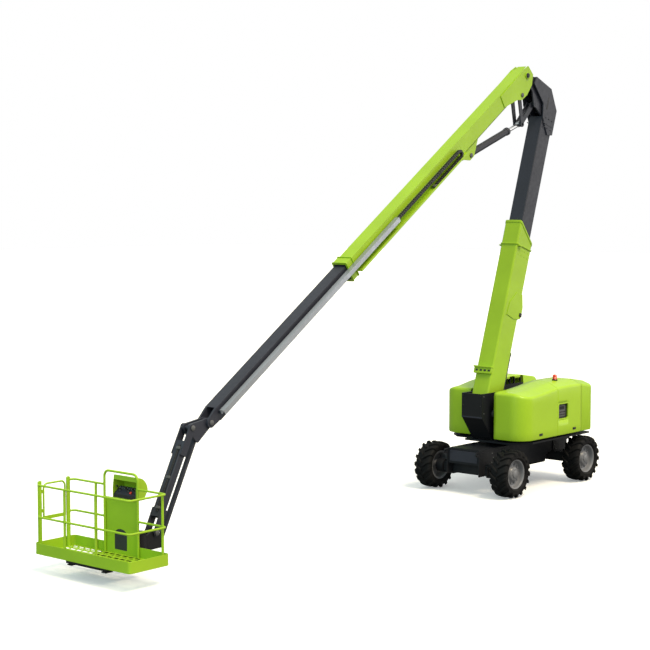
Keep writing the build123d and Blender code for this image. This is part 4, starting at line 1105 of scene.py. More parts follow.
    def controls(self) -> None:
        """Makes the window's frame and the ground controls behind it."""
        x0, x1, z0, z1 = self.window
        width, height = x1 - x0, z1 - z0
        middle = spot((x0 + x1) / 2, self.outer, (z0 + z1) / 2)
        face = middle - 0.046 * LEFTWARD
        hole = rounded(width - 0.024, height - 0.024, 0.030, 5)
        border = rounded(width + 0.036, height + 0.036, 0.046, 5)
        trim = ring_plate(border, hole, middle - 0.036 * LEFTWARD, -AHEAD, UPWARD, 0.040)
        self.shop.piece("window_frame", trim, "hood_left", "lime_cover", bevel=0.006)
        panel = plate(rounded(0.30, 0.25, 0.02), face - 0.004 * LEFTWARD, -AHEAD, UPWARD, 0.006)
        self.shop.piece("ground_panel", panel, "turntable", "machinery_grey", bevel=0.002)
        seats = seats_on(face, AHEAD, UPWARD, np.linspace(-0.11, 0.11, 5), (-0.08, -0.02))
        switches = bolt_heads(seats, LEFTWARD, Head.GROUND_SWITCH)
        self.shop.piece("ground_switches", switches, "turntable", "black_plastic")
        screen_seat = face + 0.002 * LEFTWARD + 0.07 * UPWARD
        screen = plate(rounded(0.20, 0.07, 0.008), screen_seat, -AHEAD, UPWARD, 0.004)
        self.shop.piece("ground_screen", screen, "turntable", "black_paint", bevel=0.001)

    def build(self) -> None:
        """Makes both hoods, the counterweight, the window's frame, the controls behind it and the latches."""
        self.shell("cover_left", self.hood(self.nose_left, True), "hood_left")
        self.shell("cover_right", self.hood(self.nose_right, False).mirrored(), "hood_right")
        self.shop.piece(
            "tail_casting", self.counterweight(), "turntable", "lime_casting", crease=38,
            replaces=("counterweight",),
        )
        self.controls()
        for hand in Hand:
            self.knuckles(hand)
            self.latches(hand)


@dataclass
class Tower:
    """Fittings of the tower and the deck: cover bolts and lip, pin caps, cheek bolts and the beacon."""

    shop: PaintShop
    front: float = 1.470
    half: float = 0.275
    bolt_y: tuple = (-0.235, 0.235)
    bolt_z: tuple = (1.735, 1.95, 2.17)
    lip_z: float = 1.690
    cap_circle: float = 0.062
    cap_bolts: int = 6
    cheek_seats: tuple = ((1.40, 2.16), (1.40, 1.78), (0.90, 2.16), (0.80, 1.90))
    beacon: tuple = (-0.610, 0.840, 2.400)
    lens_z: tuple = (0.031, 0.108)
    lens_radius: float = 0.0495
    rib_depth: float = 0.0018
    rib_rows: int = 15
    crown_radius: float = 0.048
    crown_z: float = 0.110
    crown_rise: float = 0.030

    def lens(self) -> Array:
        """Beacon's profile: r = lens radius +/- rib depth up its side, then a quarter ellipse.

        Returns:
            n x 2 points (r, h).
        """
        ribs = self.lens_radius + self.rib_depth * np.cos(np.arange(self.rib_rows) * np.pi)
        side = np.column_stack([ribs, np.linspace(*self.lens_z, self.rib_rows)])
        dome = np.linspace(0, np.pi / 2, 6)[1:]
        crown = [self.crown_radius * np.cos(dome), self.crown_z + self.crown_rise * np.sin(dome)]
        return np.vstack([[0.046, 0.028], side, np.column_stack(crown)])

    def build(self) -> None:
        """Makes the cover's bolts and lip, the pin caps, the cheek bolts and the beacon's lens and base."""
        seats = seats_on(spot(self.front, 0, 0), LEFTWARD, UPWARD, self.bolt_y, self.bolt_z)
        bolts = bolt_heads(seats, AHEAD, Head.FLANGE_BOLT)
        self.shop.piece("tower_bolts", bolts, "turntable", "black_plastic")
        lip_seat = spot(self.front - 0.002, 0, self.lip_z)
        lip = plate(rounded(2 * self.half, 0.030, 0.008), lip_seat, LEFTWARD, UPWARD, 0.006)
        self.shop.piece("tower_seam", lip, "turntable", "charcoal_paint", bevel=0.002)
        pin = pin_of("lower_lift") * [1, 0, 1]
        for hand in Hand:
            out = hand.outward
            cap = turned(Profile.FOOT_CAP.points, pin + (self.half - 0.001) * out, out)
            crown = pin + (self.half + 0.020) * out
            seats = seats_round(crown, AHEAD, UPWARD, self.cap_circle, self.cap_bolts)
            cap += bolt_heads(seats, out, Head.CAP_BOLT)
            self.shop.piece(f"foot_cap_{hand.side}", cap, "turntable", "machinery_grey")
            seats = [spot(x, hand.value * self.half, z) for x, z in self.cheek_seats]
            bolts = bolt_heads(seats, out, Head.CHEEK_BOLT)
            self.shop.piece(f"cheek_bolts_{hand.side}", bolts, "turntable", "machinery_grey")
        base = spot(*self.beacon)
        stand = turned(Profile.BEACON_STAND.points, base, UPWARD)
        self.shop.piece("beacon_base", stand, "hood_left", "black_plastic")
        dome = turned(self.lens(), base, UPWARD)
        self.shop.piece("beacon_dome", dome, "hood_left", "beacon_lens", replaces=("beacon",))


@dataclass
class Undercarriage:
    """Fittings of the chassis: deck plates, end shields, frame bolts and the slew ring's bolts."""

    shop: PaintShop
    half_length: float = 1.770
    half_width: float = 0.420
    top: float = 1.000
    deck_x: float = 1.27
    deck_size: tuple = (0.94, 0.80)
    deck_bolts: tuple = ((-0.42, 0.0, 0.42), (-0.36, 0.36))
    shield_z: float = 0.835
    shield_height: float = 0.24
    shield_bolts: tuple = ((-0.33, 0.33), (-0.09, 0.09))
    frame_y: float = 0.440
    frame_seats: tuple = ((1.30, 0.90), (1.26, 0.80), (1.32, 0.70))
    slew_z: float = 1.039
    slew_circle: float = 0.475
    slew_count: int = 28

    def fit_end(self, end: End) -> None:
        """Makes the deck plate, shield and frame bolts at one end.

        Args:
            end: the end.
        """
        name, way = end.name.lower(), end.value
        centre = spot(way * self.deck_x, 0, self.top)
        deck = plate(rounded(*self.deck_size, 0.03), centre - 0.002 * UPWARD, AHEAD, LEFTWARD, 0.012)
        seats = seats_on(centre + 0.010 * UPWARD, AHEAD, LEFTWARD, *self.deck_bolts)
        deck += bolt_heads(seats, UPWARD, Head.DECK_BOLT)
        self.shop.piece(f"deck_plate_{name}", deck, "chassis", "frame_paint", bevel=0.003)
        outline = rounded(2 * self.half_width - 0.10, self.shield_height, 0.025)
        centre = spot(way * self.half_length, 0, self.shield_z)
        shield = plate(outline, centre - 0.002 * way * AHEAD, way * LEFTWARD, UPWARD, 0.010)
        seats = seats_on(centre + 0.008 * way * AHEAD, LEFTWARD, UPWARD, *self.shield_bolts)
        shield += bolt_heads(seats, way * AHEAD, Head.SHIELD_BOLT)
        self.shop.piece(f"end_shield_{name}", shield, "chassis", "charcoal_paint", bevel=0.003)
        for hand in Hand:
            seats = [spot(way * x, hand.value * self.frame_y, z) for x, z in self.frame_seats]
            bolts = bolt_heads(seats, hand.outward, Head.FRAME_BOLT)
            self.shop.piece(f"end_frame_bolts_{name}_{hand.side}", bolts, "chassis", "machinery_grey")

    def build(self) -> None:
        """Makes both ends' fittings and the bolts round the slew ring."""
        for end in End:
            self.fit_end(end)
        seats = seats_round(spot(0, 0, self.slew_z), AHEAD, LEFTWARD, self.slew_circle, self.slew_count)
        bolts = bolt_heads(seats, UPWARD, Head.FLANGE_BOLT)
        self.shop.piece("slew_bolts", bolts, "chassis", "machinery_grey")


@dataclass
class LowerBoom:
    """Fittings of the lower boom: mouth band and lip, front ledge, ear bosses and the elbow's trim."""

    shop: PaintShop
    angle: float = 108.5
    half_width: float = 0.220
    half_depth: float = 0.300
    mouth_front: float = 4.450
    mouth_rear: float = 4.060
    band_along: float = 3.88
    band_length: float = 0.030
    band_stand: float = 0.044
    lip_back: float = 0.055
    lip_length: float = 0.050
    lip_shrink: tuple = (0.965, 0.975)
    tab_along: float = 3.865
    ledge_along: float = 0.90
    brow_along: float = 0.975
    pad_along: float = 0.895
    pad_y: tuple = (-0.165, -0.055, 0.055, 0.165)
    ear: tuple = (2.38, -0.335)
    screw_along: tuple = (3.80, 3.68)
    screw_ahead: tuple = (-0.18, -0.06, 0.06, 0.18)
    elbow_half: float = 0.215
    slit: tuple = (7.33, 0.16)
    # Seat of a black strip on the elbow: painted shade where the inside of a slit is dark.
    rib: tuple = (6.86, 0.02)
    elbow_along: tuple = (6.78, 7.00)
    elbow_ahead: tuple = (-0.14, 0.0, 0.12)

    @property
    def line(self) -> BoomLine:
        """The boom's line from its foot pin; square to it is ahead."""
        return BoomLine.from_pin("lower_lift", self.angle, -1)

    def mouth(self) -> None:
        """Makes the band below the mouth, the lip along its slanted edge and the band's tabs."""
        line = self.line
        width, depth = 2 * self.half_width, 2 * self.half_depth
        loop = rounded(width + self.band_stand, depth + self.band_stand, 0.06, 5)
        hole = rounded(width - 0.004, depth - 0.004, 0.038, 5)
        band = ring_plate(loop, hole, line.at(self.band_along, 0), LEFTWARD, line.square, -self.band_length)
        self.shop.piece("mouth_band", band, "lower_boom", "lime_paint", bevel=0.006)
        slant = line.square + (self.mouth_front - self.mouth_rear) / depth * line.forward
        middle = line.at((self.mouth_front + self.mouth_rear) / 2 - self.lip_back, 0)
        edges = [on_plane(edge, middle, LEFTWARD, slant) for edge in (loop * self.lip_shrink, hole)]
        lip = ring_between(*edges, self.lip_length * line.forward)
        self.shop.piece("mouth_lip", lip, "lower_boom", "lime_paint", bevel=0.005)
        tab_y = self.half_width + 0.03
        seats = [line.at(self.tab_along, self.half_depth - 0.08, y) for y in (-tab_y, tab_y)]
        self.shop.piece(
            "band_tabs", line.bars(seats, (0.030, 0.07, 0.10)), "lower_boom", "lime_paint", bevel=0.005
        )

    def ledge(self) -> None:
        """Makes the ledge and brow across the front face and the pads on the ledge."""
        line = self.line
        face, width = self.half_depth - 0.006, 2 * self.half_width
        seat = line.at(self.ledge_along, face, -0.012)
        shelf = plate(rounded(width + 0.030, 0.150, 0.018), seat, LEFTWARD, line.forward, 0.062)
        seat = line.at(self.brow_along, face, -0.014)
        brow = plate(rounded(width + 0.050, 0.034, 0.010), seat, LEFTWARD, line.forward, 0.092)
        self.shop.piece("front_ledge", shelf + brow, "lower_boom", "lime_paint", bevel=0.006)
        outline = rounded(0.062, 0.042, 0.008)
        seats = [line.at(self.pad_along, self.half_depth + 0.055, y) for y in self.pad_y]
        pads = joined([plate(outline, seat, LEFTWARD, line.forward, 0.006) for seat in seats])
        self.shop.piece("ledge_pads", pads, "lower_boom", "black_plastic", bevel=0.002)

    def flank(self, hand: Hand) -> None:
        """Makes a side's ear boss and pad screws, a black strip that paints the shade of a slit on the elbow, and
        the elbow's rib and bolts.

        Args:
            hand: the side.
        """
        line, side, out = self.line, hand.side, hand.outward
        plane = (line.forward, line.square) if hand is Hand.LEFT else (line.square, line.forward)
        seat = line.at(*self.ear, hand.value * (self.half_width + 0.013))
        boss = plate(rounded(0.085, 0.085, 0.016), seat, *plane, 0.022)
        self.shop.piece(f"ear_boss_{side}", boss, "lower_boom", "black_plastic", bevel=0.004)
        seats = line.side_seats(hand.value * self.half_width, self.screw_along, self.screw_ahead)
        screws = bolt_heads(seats, out, Head.FLANGE_BOLT)
        self.shop.piece(f"pad_screws_{side}", screws, "lower_boom", "lime_paint")
        # Painted shade: a flat black strip stands for the dark inside of a slit in the elbow's side.
        seat = line.at(*self.slit, hand.value * (self.elbow_half - 0.0005))
        slit = plate(rounded(0.30, 0.050, 0.024, 6), seat, *plane, 0.003)
        self.shop.piece(f"elbow_slit_{side}", slit, "lower_inner", "black_plastic")
        rib = line.bars(line.at(*self.rib, hand.value * (self.elbow_half - 0.001)), (0.020, 0.014, 0.40))
        self.shop.piece(f"elbow_rib_{side}", rib, "lower_inner", "charcoal_paint", bevel=0.004)
        seats = line.side_seats(hand.value * self.elbow_half, self.elbow_along, self.elbow_ahead)
        bolts = bolt_heads(seats, out, Head.ELBOW_BOLT)
        self.shop.piece(f"elbow_bolts_{side}", bolts, "lower_inner", "charcoal_paint")

    def build(self) -> None:
        """Makes the boom's fittings."""
        self.mouth()
        self.ledge()
        for hand in Hand:
            self.flank(hand)


@dataclass
class MainBoom:
    """Fittings of the main boom: services chain, head lid, mouth collar, pin caps and screws."""

    shop: PaintShop
    angle: float = -34.0
    mouth: float = 7.600
    half_width: float = 0.160
    chain_y: float = 0.240
    chain_start: float = 5.790
    chain_bend: tuple = (3.250, -0.045)
    chain_radius: float = 0.075
    chain_tail: float = 1.095
    pitch: float = 0.066
    anchor: tuple = (4.37, -0.118)
    lid: tuple = (0.0725, 0.155)
    lid_size: tuple = (0.185, 0.311, 0.014)
    tongue: tuple = (-0.090, 0.144)
    tongue_size: tuple = (0.150, 0.220, 0.014)
    collar_off: float = -0.0225
    collar_length: float = 0.200
    flange: float = 0.016
    pins: tuple = (("ram", 2.750, -0.380, 0.117), ("idler", 0.410, -0.267, 0.189))
    cap_y: float = 0.179
    pin_end_y: float = 0.2195
    screw_along: tuple = (7.45, 7.55)
    screw_up: tuple = (-0.12, 0.0, 0.10)

    @property
    def line(self) -> BoomLine:
        """The boom's line from the elbow pin; square to it is above."""
        return BoomLine.from_pin("main_luff", self.angle)

    def chain(self) -> tuple:
        """Chain links: boxes at equal steps along two runs and a half-circle bend.

        Returns:
            The links and the narrow core that joins them.
        """
        forward, above = self.line.forward, self.line.square
        bend_along, bend_up = self.chain_bend
        upper, arc = self.chain_start - bend_along, np.pi * self.chain_radius
        count = int((upper + arc + self.chain_tail) / self.pitch)
        s = (np.arange(count) + 0.5) * self.pitch
        turn = np.clip((s - upper) / self.chain_radius, 0, np.pi)[:, None]
        bent = bend_along - self.chain_radius * np.sin(turn[:, 0])
        along = np.where(s < upper, self.chain_start - s, bent)
        along = np.where(s > upper + arc, bend_along + s - upper - arc, along)
        up = bend_up + self.chain_radius * np.cos(turn)
        middle = self.line.at(along[:, None], up, self.chain_y)
        tangent = -np.cos(turn) * forward - np.sin(turn) * above
        outward = np.cos(turn) * above - np.sin(turn) * forward
        links = blocks(middle, tangent, LEFTWARD, outward, (self.pitch - 0.010, 0.074, 0.056))
        core = blocks(middle, tangent, LEFTWARD, outward, (self.pitch + 0.006, 0.056, 0.034))
        seats = middle + self.pitch / 2 * tangent + 0.034 * LEFTWARD
        return links, core + bolt_heads(seats, LEFTWARD, Head.CHAIN_PIN)

    def collar(self) -> None:
        """Makes the flanges at both ends of the mouth's collar."""
        line = self.line
        outer = rounded(0.392, 0.460, 0.03)
        rings = (
            ("mouth_flange", rounded(0.300, 0.345, 0.02), 0.006),
            ("collar_flange", rounded(0.330, 0.404, 0.02), self.collar_length),
        )
        for name, hole, back in rings:
            seat = line.at(self.mouth - back, self.collar_off)
            ring = ring_plate(outer, hole, seat, LEFTWARD, line.square, self.flange)
            self.shop.piece(name, ring, "main_boom", "lime_paint", bevel=0.003)

    def flank(self, hand: Hand) -> None:
        """Makes a side's pin caps and collar screws.

        Args:
            hand: the side.
        """
        line, side, out = self.line, hand.side, hand.outward
        cap = turned(Profile.ELBOW_CAP.points, line.pin + self.cap_y * out, out)
        self.shop.piece(f"elbow_cap_{side}", cap, "main_boom", "lime_paint")
        end = turned(Profile.ELBOW_PIN_END.points, line.pin + self.pin_end_y * out, out, 24)
        self.shop.piece(f"elbow_pin_end_{side}", end, "lower_inner", "black_plastic")
        for name, along, up, y in self.pins:
            stub = turned(Profile.PIN_STUB.points, line.at(along, up, hand.value * y), out, 24)
            self.shop.piece(f"{name}_pin_{side}", stub, "main_boom", "machinery_grey")
        seats = line.side_seats(hand.value * (self.half_width + 0.013), self.screw_along, self.screw_up)
        screws = bolt_heads(seats, out, Head.COLLAR_SCREW)
        self.shop.piece(f"collar_screws_{side}", screws, "main_boom", "lime_paint")

    def build(self) -> None:
        """Makes the chain, the lid over the boom's head, the collar and both sides' fittings."""
        line = self.line
        links, core = self.chain()
        self.shop.piece(
            "chain_links", links, "main_boom", "black_plastic", bevel=0.006, replaces=("services_chain",)
        )
        self.shop.piece("chain_core", core, "main_boom", "black_plastic", bevel=0.002)
        clamp = line.bars(line.at(*self.anchor, self.chain_y), (0.080, 0.090, 0.060))
        self.shop.piece("chain_anchor", clamp, "main_boom", "machinery_grey", bevel=0.006)
        lid = line.bars(line.at(*self.lid), self.lid_size)
        lid += line.bars(line.at(*self.tongue), self.tongue_size)
        self.shop.piece("head_cap", lid, "main_boom", "lime_paint", bevel=0.003)
        self.collar()
        for hand in Hand:
            self.flank(hand)


@dataclass
class Rams:
    """Glands at the mouths of both lift rams' barrels."""

    shop: PaintShop
    glands: tuple = (("main", 1.590, Profile.MAIN_GLAND), ("lower", 1.775, Profile.LOWER_GLAND))

    def build(self) -> None:
        """Makes a gland on each barrel, turned about its ram."""
        for name, mouth, profile in self.glands:
            thrust = np.array(JOINTS[f"{name}_rod_slide"]["axis"], float)
            seat = pin_of(f"{name}_barrel_turn") + mouth * thrust
            gland = turned(profile.points, seat, thrust, loop=True)
            self.shop.piece(f"{name}_ram_gland", gland, f"{name}_lift_barrel", "charcoal_paint")


@dataclass
class Jib:
    """Pin caps of the jib and of the fly's tip, and the jib's tubes with their clamps."""

    shop: PaintShop
    pins: tuple = (
        ("tip", "level_main", "level_pin", 0.150),
        ("jib", "jib_lift", "tip_bracket", 0.134),
        ("level", "platform_level", "platform_bracket", 0.134),
    )
    run: tuple = (0.36, 1.62)
    run_up: float = 0.088
    tube_y: tuple = (0.045, 0.015)
    tube_radius: float = 0.011
    clamp_along: tuple = (0.42, 0.98, 1.55)
    clamp_y: float = 0.030
    clamp_size: tuple = (0.050, 0.090, 0.034)

    def build(self) -> None:
        """Makes the caps at each pin and the straight tubes along the jib with their clamps."""
        for name, joint, body, y in self.pins:
            for hand in Hand:
                cap = turned(Profile.JIB_CAP.points, pin_of(joint) + y * hand.outward, hand.outward, 24)
                self.shop.piece(f"{name}_cap_{hand.side}", cap, body, "machinery_grey")
        reach = pin_of("platform_level") - pin_of("jib_lift")
        line = BoomLine.from_pin("jib_lift", np.degrees(np.arctan2(reach[2], reach[0])))
        for index, y in enumerate(self.tube_y):
            path = line.at(np.linspace(*self.run, 12)[:, None], self.run_up, y)
            tube = carried(circle(self.tube_radius, 10), path, line.square)
            self.shop.piece(f"jib_tube_{index}", tube, "jib", "black_plastic")
        seats = [line.at(along, self.run_up, self.clamp_y) for along in self.clamp_along]
        self.shop.piece("jib_clamps", line.bars(seats, self.clamp_size), "jib", "machinery_grey", bevel=0.004)


@dataclass
class WorkPlatform:
    """Slotted deck with toe boards, gate posts, arched panel and control station."""

    shop: PaintShop
    front: float = 12.850
    rear: float = 11.940
    half: float = 1.220
    floor: float = 0.340
    deck: float = 0.365
    toe: float = 0.540
    deck_margin: float = 0.006
    deck_wall: float = 0.004
    cells: tuple = (44, 121)
    border: tuple = (3, 4)
    slot_pitch: tuple = (5, 8)
    slot_open: tuple = (3, 6)
    stagger: int = 4
    rib_starts: tuple = (0.20, 0.71)
    pan: tuple = (12.50, 0, 0.298)
    pan_size: tuple = (0.50, 1.02, 0.070)
    rail_inset: float = 0.0353
    gate_posts: tuple = (12.753, 12.110)
    post_z: float = 0.985
    post_size: tuple = (0.076, 0.030, 1.236)
    front_feet: tuple = (-0.45, 0.35)
    rear_feet: tuple = (1.09, -0.60)
    gate_feet: tuple = (12.740, 12.110)
    foot: float = 0.066
    skid_y: float = 0.44
    skid_z: float = 0.236
    skid_size: tuple = (0.16, 0.12, 0.022)
    panel_y: tuple = (-0.370, 0.480)
    panel_top: float = 1.340
    panel_inset: float = 0.0092
    panel_wall: float = 0.0036
    arch_y: float = 0.015
    arch_half: float = 0.160
    arch_sill: float = 0.430
    arch_spring: float = 0.700
    arch_rise: float = 0.100
    arch_steps: int = 8
    # Size of the dark sheet of painted shade behind the arched opening, relative to the opening itself.
    mesh_spread: float = 1.04
    console: tuple = (11.8983, 0.150, 1.465)
    console_slope: tuple = (0.150, 0.130)
    stick_y: tuple = (-0.20, 0.02, 0.20)
    switch_rows: tuple = (0.045, 0.068)
    stop_seat: tuple = (0.11, -0.035)

    def slotted_deck(self) -> Surface:
        """Deck sheet: a grid of small squares, those inside the staggered slots left out.

        Returns:
            The upper face of the deck, open at its slots.
        """
        rows, columns = self.cells
        x = np.linspace(self.rear + self.deck_margin, self.front - self.deck_margin, rows + 1)
        y = np.linspace(-self.half + self.deck_margin, self.half - self.deck_margin, columns + 1)
        u, v = np.meshgrid(x - MIDDLE, y, indexing="ij")
        sheet = sheet_of(np.stack([u, v, np.full(u.shape, self.deck)], axis=-1))
        row, column = np.divmod(np.arange(len(sheet.faces)), columns)
        row, column = row - self.border[0], column - self.border[1]
        shift = np.where(row // self.slot_pitch[0] % 2 == 0, 0, self.stagger)
        gone = row % self.slot_pitch[0] < self.slot_open[0]
        gone &= (column + shift) % self.slot_pitch[1] < self.slot_open[1]
        gone &= (row >= 0) & (row < rows - 2 * self.border[0])
        gone &= (column >= 0) & (column < columns - 2 * self.border[1])
        sheet.faces = [face for face, slot in zip(sheet.faces, gone) if not slot]
        return sheet

    def tray(self) -> None:
        """Makes the slotted deck, the toe boards round it, and the hem, ribs and pan that carry it."""
        shop = self.shop
        deck = shop.piece("slotted_deck", self.slotted_deck(), "platform", "lime_paint", outward=True)
        wall = deck.modifiers.new("wall", "SOLIDIFY")
        wall.thickness = self.deck_wall
        wall.offset = -1.0
        centre = spot((self.front + self.rear) / 2, 0, self.floor)
        depth, width = self.front - self.rear, 2 * self.half
        outer = rounded(depth, width, 0.06, 7)
        inner = rounded(depth - 0.016, width - 0.016, 0.052, 7)
        board = ring_plate(outer, inner, centre, AHEAD, LEFTWARD, self.toe - self.floor)
        shop.piece("toe_boards", board, "platform", "lime_paint", bevel=0.003, replaces=("platform_floor",))
        outer = rounded(depth - 0.010, width - 0.010, 0.056, 7)
        inner = rounded(depth - 0.060, width - 0.060, 0.03, 7)
        hem = ring_plate(outer, inner, centre + 0.001 * UPWARD, AHEAD, LEFTWARD, 0.018)
        shop.piece("deck_hem", hem, "platform", "lime_paint", bevel=0.003)
        seats = [spot(self.rear + start, 0, self.deck - 0.014) for start in self.rib_starts]
        ribs = blocks(seats, *SQUARE, (0.03, width - 0.05, 0.020))
        shop.piece("deck_ribs", ribs, "platform", "lime_paint")
        pan = blocks(spot(*self.pan), *SQUARE, self.pan_size)
        shop.piece("support_pan", pan, "platform", "black_paint", bevel=0.006)

    def rails(self) -> None:
        """Makes the flat gate posts, post feet and skid shoes."""
        gate_y = self.rail_inset - self.half
        rear, front = self.rear + self.rail_inset, self.front - self.rail_inset
        flats = blocks([spot(x, gate_y, self.post_z) for x in self.gate_posts], *SQUARE, self.post_size)
        self.shop.piece("gate_post_flats", flats, "platform", "lime_paint", bevel=0.006)
        seats = [(front, y) for y in self.front_feet] + [(rear, y) for y in self.rear_feet]
        seats += [(x, gate_y) for x in self.gate_feet]
        outline = rounded(self.foot, self.foot, 0.012)
        feet = [plate(outline, spot(x, y, self.deck - 0.001), AHEAD, LEFTWARD, 0.012) for x, y in seats]
        self.shop.piece("post_feet", joined(feet), "platform", "lime_paint", bevel=0.002)
        places = (self.rear + 0.02, self.front - 0.20)
        seats = seats_on(spot(0, 0, self.skid_z), AHEAD, LEFTWARD, places, (-self.skid_y, self.skid_y))
        self.shop.piece(
            "skid_shoes", blocks(seats, *SQUARE, self.skid_size), "platform", "black_paint", bevel=0.006
        )

    def panel(self) -> None:
        """Makes the sheet below the console with its arched opening, and a thin dark sheet behind the opening that
        paints the shade inside it.
        """
        right, left = self.panel_y
        half, steps = self.arch_half, self.arch_steps
        centre = spot(self.rear + self.panel_inset, (left + right) / 2, (self.panel_top + self.deck) / 2)
        angle = np.linspace(0, np.pi, 2 * steps)
        arch = np.column_stack([half * np.cos(angle), self.arch_spring + self.arch_rise * np.sin(angle)])
        foot = np.repeat([[-half, self.arch_sill], [half, self.arch_sill]], steps, axis=0)
        foot[:, 0] += np.tile(np.linspace(0, 0.004, steps), 2) * np.repeat([1, -1], steps)
        opening = np.vstack([arch, foot]) + [self.arch_y - centre[1], -centre[2]]
        outline = rounded(left - right, self.panel_top - self.deck - 0.001, 0.01, steps)
        sheet = ring_plate(outline, opening, centre, LEFTWARD, UPWARD, self.panel_wall)
        self.shop.piece("panel_sheet", sheet, "platform", "lime_paint", replaces=("console_panel",))
        # Painted shade: a thin charcoal sheet just behind the panel fills the arched opening.
        middle = opening.mean(axis=0)
        spread = middle + self.mesh_spread * (opening - middle)
        insert = plate(spread, centre - 0.0010 * AHEAD, LEFTWARD, UPWARD, 0.0008)
        self.shop.piece("panel_mesh", insert, "platform", "charcoal_paint")

    def station(self) -> None:
        """Makes the console's board, sticks, switches and stop button."""
        run, rise = np.array(self.console_slope) / np.hypot(*self.console_slope)
        slope, normal = rise * UPWARD - run * AHEAD, rise * AHEAD + run * UPWARD
        face = spot(*self.console)
        top = face + 0.004 * normal
        board = plate(rounded(0.54, 0.165, 0.012), face - 0.002 * normal, -LEFTWARD, slope, -0.008)
        self.shop.piece("console_board", board, "platform", "charcoal_paint", bevel=0.002)
        sticks = [turned(Profile.STICK.points, top + y * LEFTWARD, normal, 18) for y in self.stick_y]
        self.shop.piece("console_sticks", joined(sticks), "platform", "black_plastic")
        seats = seats_on(top, LEFTWARD, slope, np.linspace(-0.24, 0.24, 9), self.switch_rows)
        switches = bolt_heads(seats, normal, Head.CONSOLE_SWITCH)
        self.shop.piece("console_switches", switches, "platform", "rim_paint")
        stop_y, stop_up = self.stop_seat
        stop = turned(Profile.STOP_BUTTON.points, top + stop_y * LEFTWARD + stop_up * slope, normal, 20)
        self.shop.piece("console_stop", stop, "platform", "beacon_lens")

    def build(self) -> None:
        """Makes the deck, boards, posts, the panel with its painted shade in the opening, and the controls."""
        self.tray()
        self.rails()
        self.panel()
        self.station()


# Studio

@dataclass(frozen=True)
class Lamp:
    """One square area light: where it stands, the point that it faces, its side, watts and tint."""

    name: str
    place: tuple
    aim: tuple
    size: float
    power: float
    colour: tuple


LAMPS = (
    Lamp("sheen", (-34, 26, 7), (-3, 0, 4), 14.0, 1100, (0.97, 0.98, 1.0)),
    Lamp("fill", (32, 4, 12), (0, 0, 4), 16.0, 2300, (0.50, 1.0, 1.0)),
)


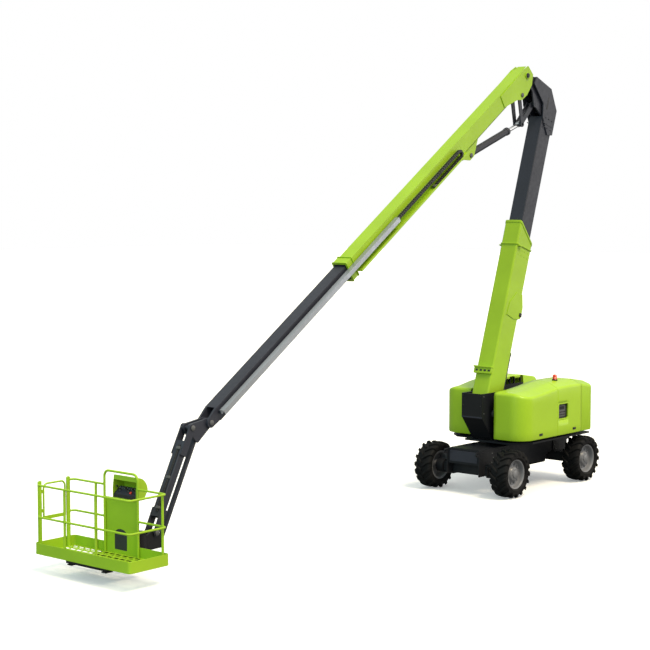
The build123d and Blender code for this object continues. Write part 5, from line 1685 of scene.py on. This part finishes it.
@dataclass
class Studio:
    """Floor, soft lights and the camera at the photograph's angle."""

    eye: tuple = (24.8655, 20.4326, 6.4030)
    yaw: float = 220.645
    pitch: float = -4.311
    lens: float = 87.97
    far: float = 500
    dim: tuple = (0.19, 0.34, 0.38)
    bright: tuple = (1.05, 1.02, 0.94)
    lit_side: tuple = (-0.34, 0.66, 0.67)
    lit_span: tuple = (-0.9, 0.9)
    floor_reach: float = 160.0
    floor_colour: tuple = (0.90, 0.90, 0.90, 1)
    floor_roughness: float = 0.9
    floor_glow: float = 0.25
    bounce_colour: tuple = (0.22, 0.22, 0.22, 1)
    sun_from: tuple = (0.06, 0.52, 0.85)
    sun_strength: float = 2.5
    sun_spread: float = 0.35
    sun_colour: tuple = (1.0, 0.86, 0.62)

    def floor(self) -> None:
        """Pale level floor, z = 0 over a wide square, that throws little light back on the machine."""
        u = np.linspace(-self.floor_reach, self.floor_reach, 9)
        x, y = np.meshgrid(u, u, indexing="ij")
        surface = sheet_of(np.stack([x, y, 0 * x], axis=-1))
        mesh = bpy.data.meshes.new("floor")
        mesh.from_pydata(surface.points.tolist(), [], surface.faces)
        material = bpy.data.materials.new("floor_finish")
        material.use_nodes = True
        tree = material.node_tree
        shader = tree.nodes["Principled BSDF"]
        shader.inputs["Base Color"].default_value = self.floor_colour
        shader.inputs["Roughness"].default_value = self.floor_roughness
        shader.inputs["Emission Color"].default_value = (1, 1, 1, 1)
        shader.inputs["Emission Strength"].default_value = self.floor_glow
        bounce = tree.nodes.new("ShaderNodeBsdfDiffuse")
        bounce.inputs["Color"].default_value = self.bounce_colour
        seen_and_cast(tree, shader, bounce, "Material Output")
        mesh.materials.append(material)
        thing = bpy.data.objects.new("floor", mesh)
        bpy.context.scene.collection.objects.link(thing)

    def stand(self, name: str, data: bpy.types.ID, place: tuple, facing: Vector) -> bpy.types.Object:
        """Puts a light or the camera into the scene.

        Args:
            name: the object's name.
            data: the light or camera.
            place: where it stands.
            facing: direction that it looks or shines in.

        Returns:
            The object.
        """
        thing = bpy.data.objects.new(name, data)
        thing.location = place
        thing.rotation_euler = facing.to_track_quat("-Z", "Y").to_euler()
        bpy.context.scene.collection.objects.link(thing)
        return thing

    def lamp(self, lamp: Lamp) -> None:
        """Makes a square area light aimed at a point.

        Args:
            lamp: its values.
        """
        light = bpy.data.lights.new(lamp.name, "AREA")
        light.size = lamp.size
        light.energy = lamp.power
        light.color = lamp.colour
        self.stand(lamp.name, light, lamp.place, Vector(lamp.aim) - Vector(lamp.place))

    def sun(self) -> None:
        """Even soft light over the whole machine, from high on its left."""
        light = bpy.data.lights.new("key", "SUN")
        light.energy = self.sun_strength
        light.angle = self.sun_spread
        light.color = self.sun_colour
        self.stand("key", light, (0, 0, 0), -Vector(self.sun_from))

    def surroundings(self) -> None:
        """Studio walls, brighter the more a direction faces the lit side; the backdrop is white."""
        world = bpy.data.worlds.new("studio")
        world.use_nodes = True
        tree = world.node_tree
        walls = tree.nodes["Background"]
        facing = tree.nodes.new("ShaderNodeVectorMath")
        facing.operation = "DOT_PRODUCT"
        facing.inputs[1].default_value = self.lit_side
        tree.links.new(tree.nodes.new("ShaderNodeTexCoord").outputs["Generated"], facing.inputs[0])
        share = ranged(tree, facing.outputs["Value"], self.lit_span, (0.0, 1.0))
        tree.links.new(blended(tree, "MIX", share, (*self.dim, 1), (*self.bright, 1)), walls.inputs[0])
        backdrop = tree.nodes.new("ShaderNodeBackground")
        backdrop.inputs[0].default_value = (1, 1, 1, 1)
        seen_and_cast(tree, backdrop, walls, "World Output")
        bpy.context.scene.world = world

    def build(self) -> None:
        """Makes the floor, the world's soft light, the lamps and the camera."""
        self.floor()
        self.surroundings()
        self.sun()
        for lamp in LAMPS:
            self.lamp(lamp)
        turn = np.radians(self.yaw)
        tilt = np.radians(self.pitch)
        look = Vector((np.cos(turn) * np.cos(tilt), np.sin(turn) * np.cos(tilt), np.sin(tilt)))
        camera = bpy.data.cameras.new("camera")
        camera.lens = self.lens
        camera.clip_end = self.far
        bpy.context.scene.camera = self.stand("camera", camera, self.eye, look)
        bpy.context.scene.view_settings.view_transform = "Standard"


def main() -> None:
    """Builds the studio and every sub-assembly in order."""
    logging.basicConfig(level=logging.INFO, format="%(name)s %(message)s")
    Studio().build()
    shop = PaintShop()
    shop.dress_nodes()
    for assembly in (Wheels, Covers, Tower, Undercarriage, LowerBoom, MainBoom, Rams, Jib, WorkPlatform):
        log.info("building %s", assembly.__name__)
        assembly(shop).build()


if __name__ == "__main__":
    main()
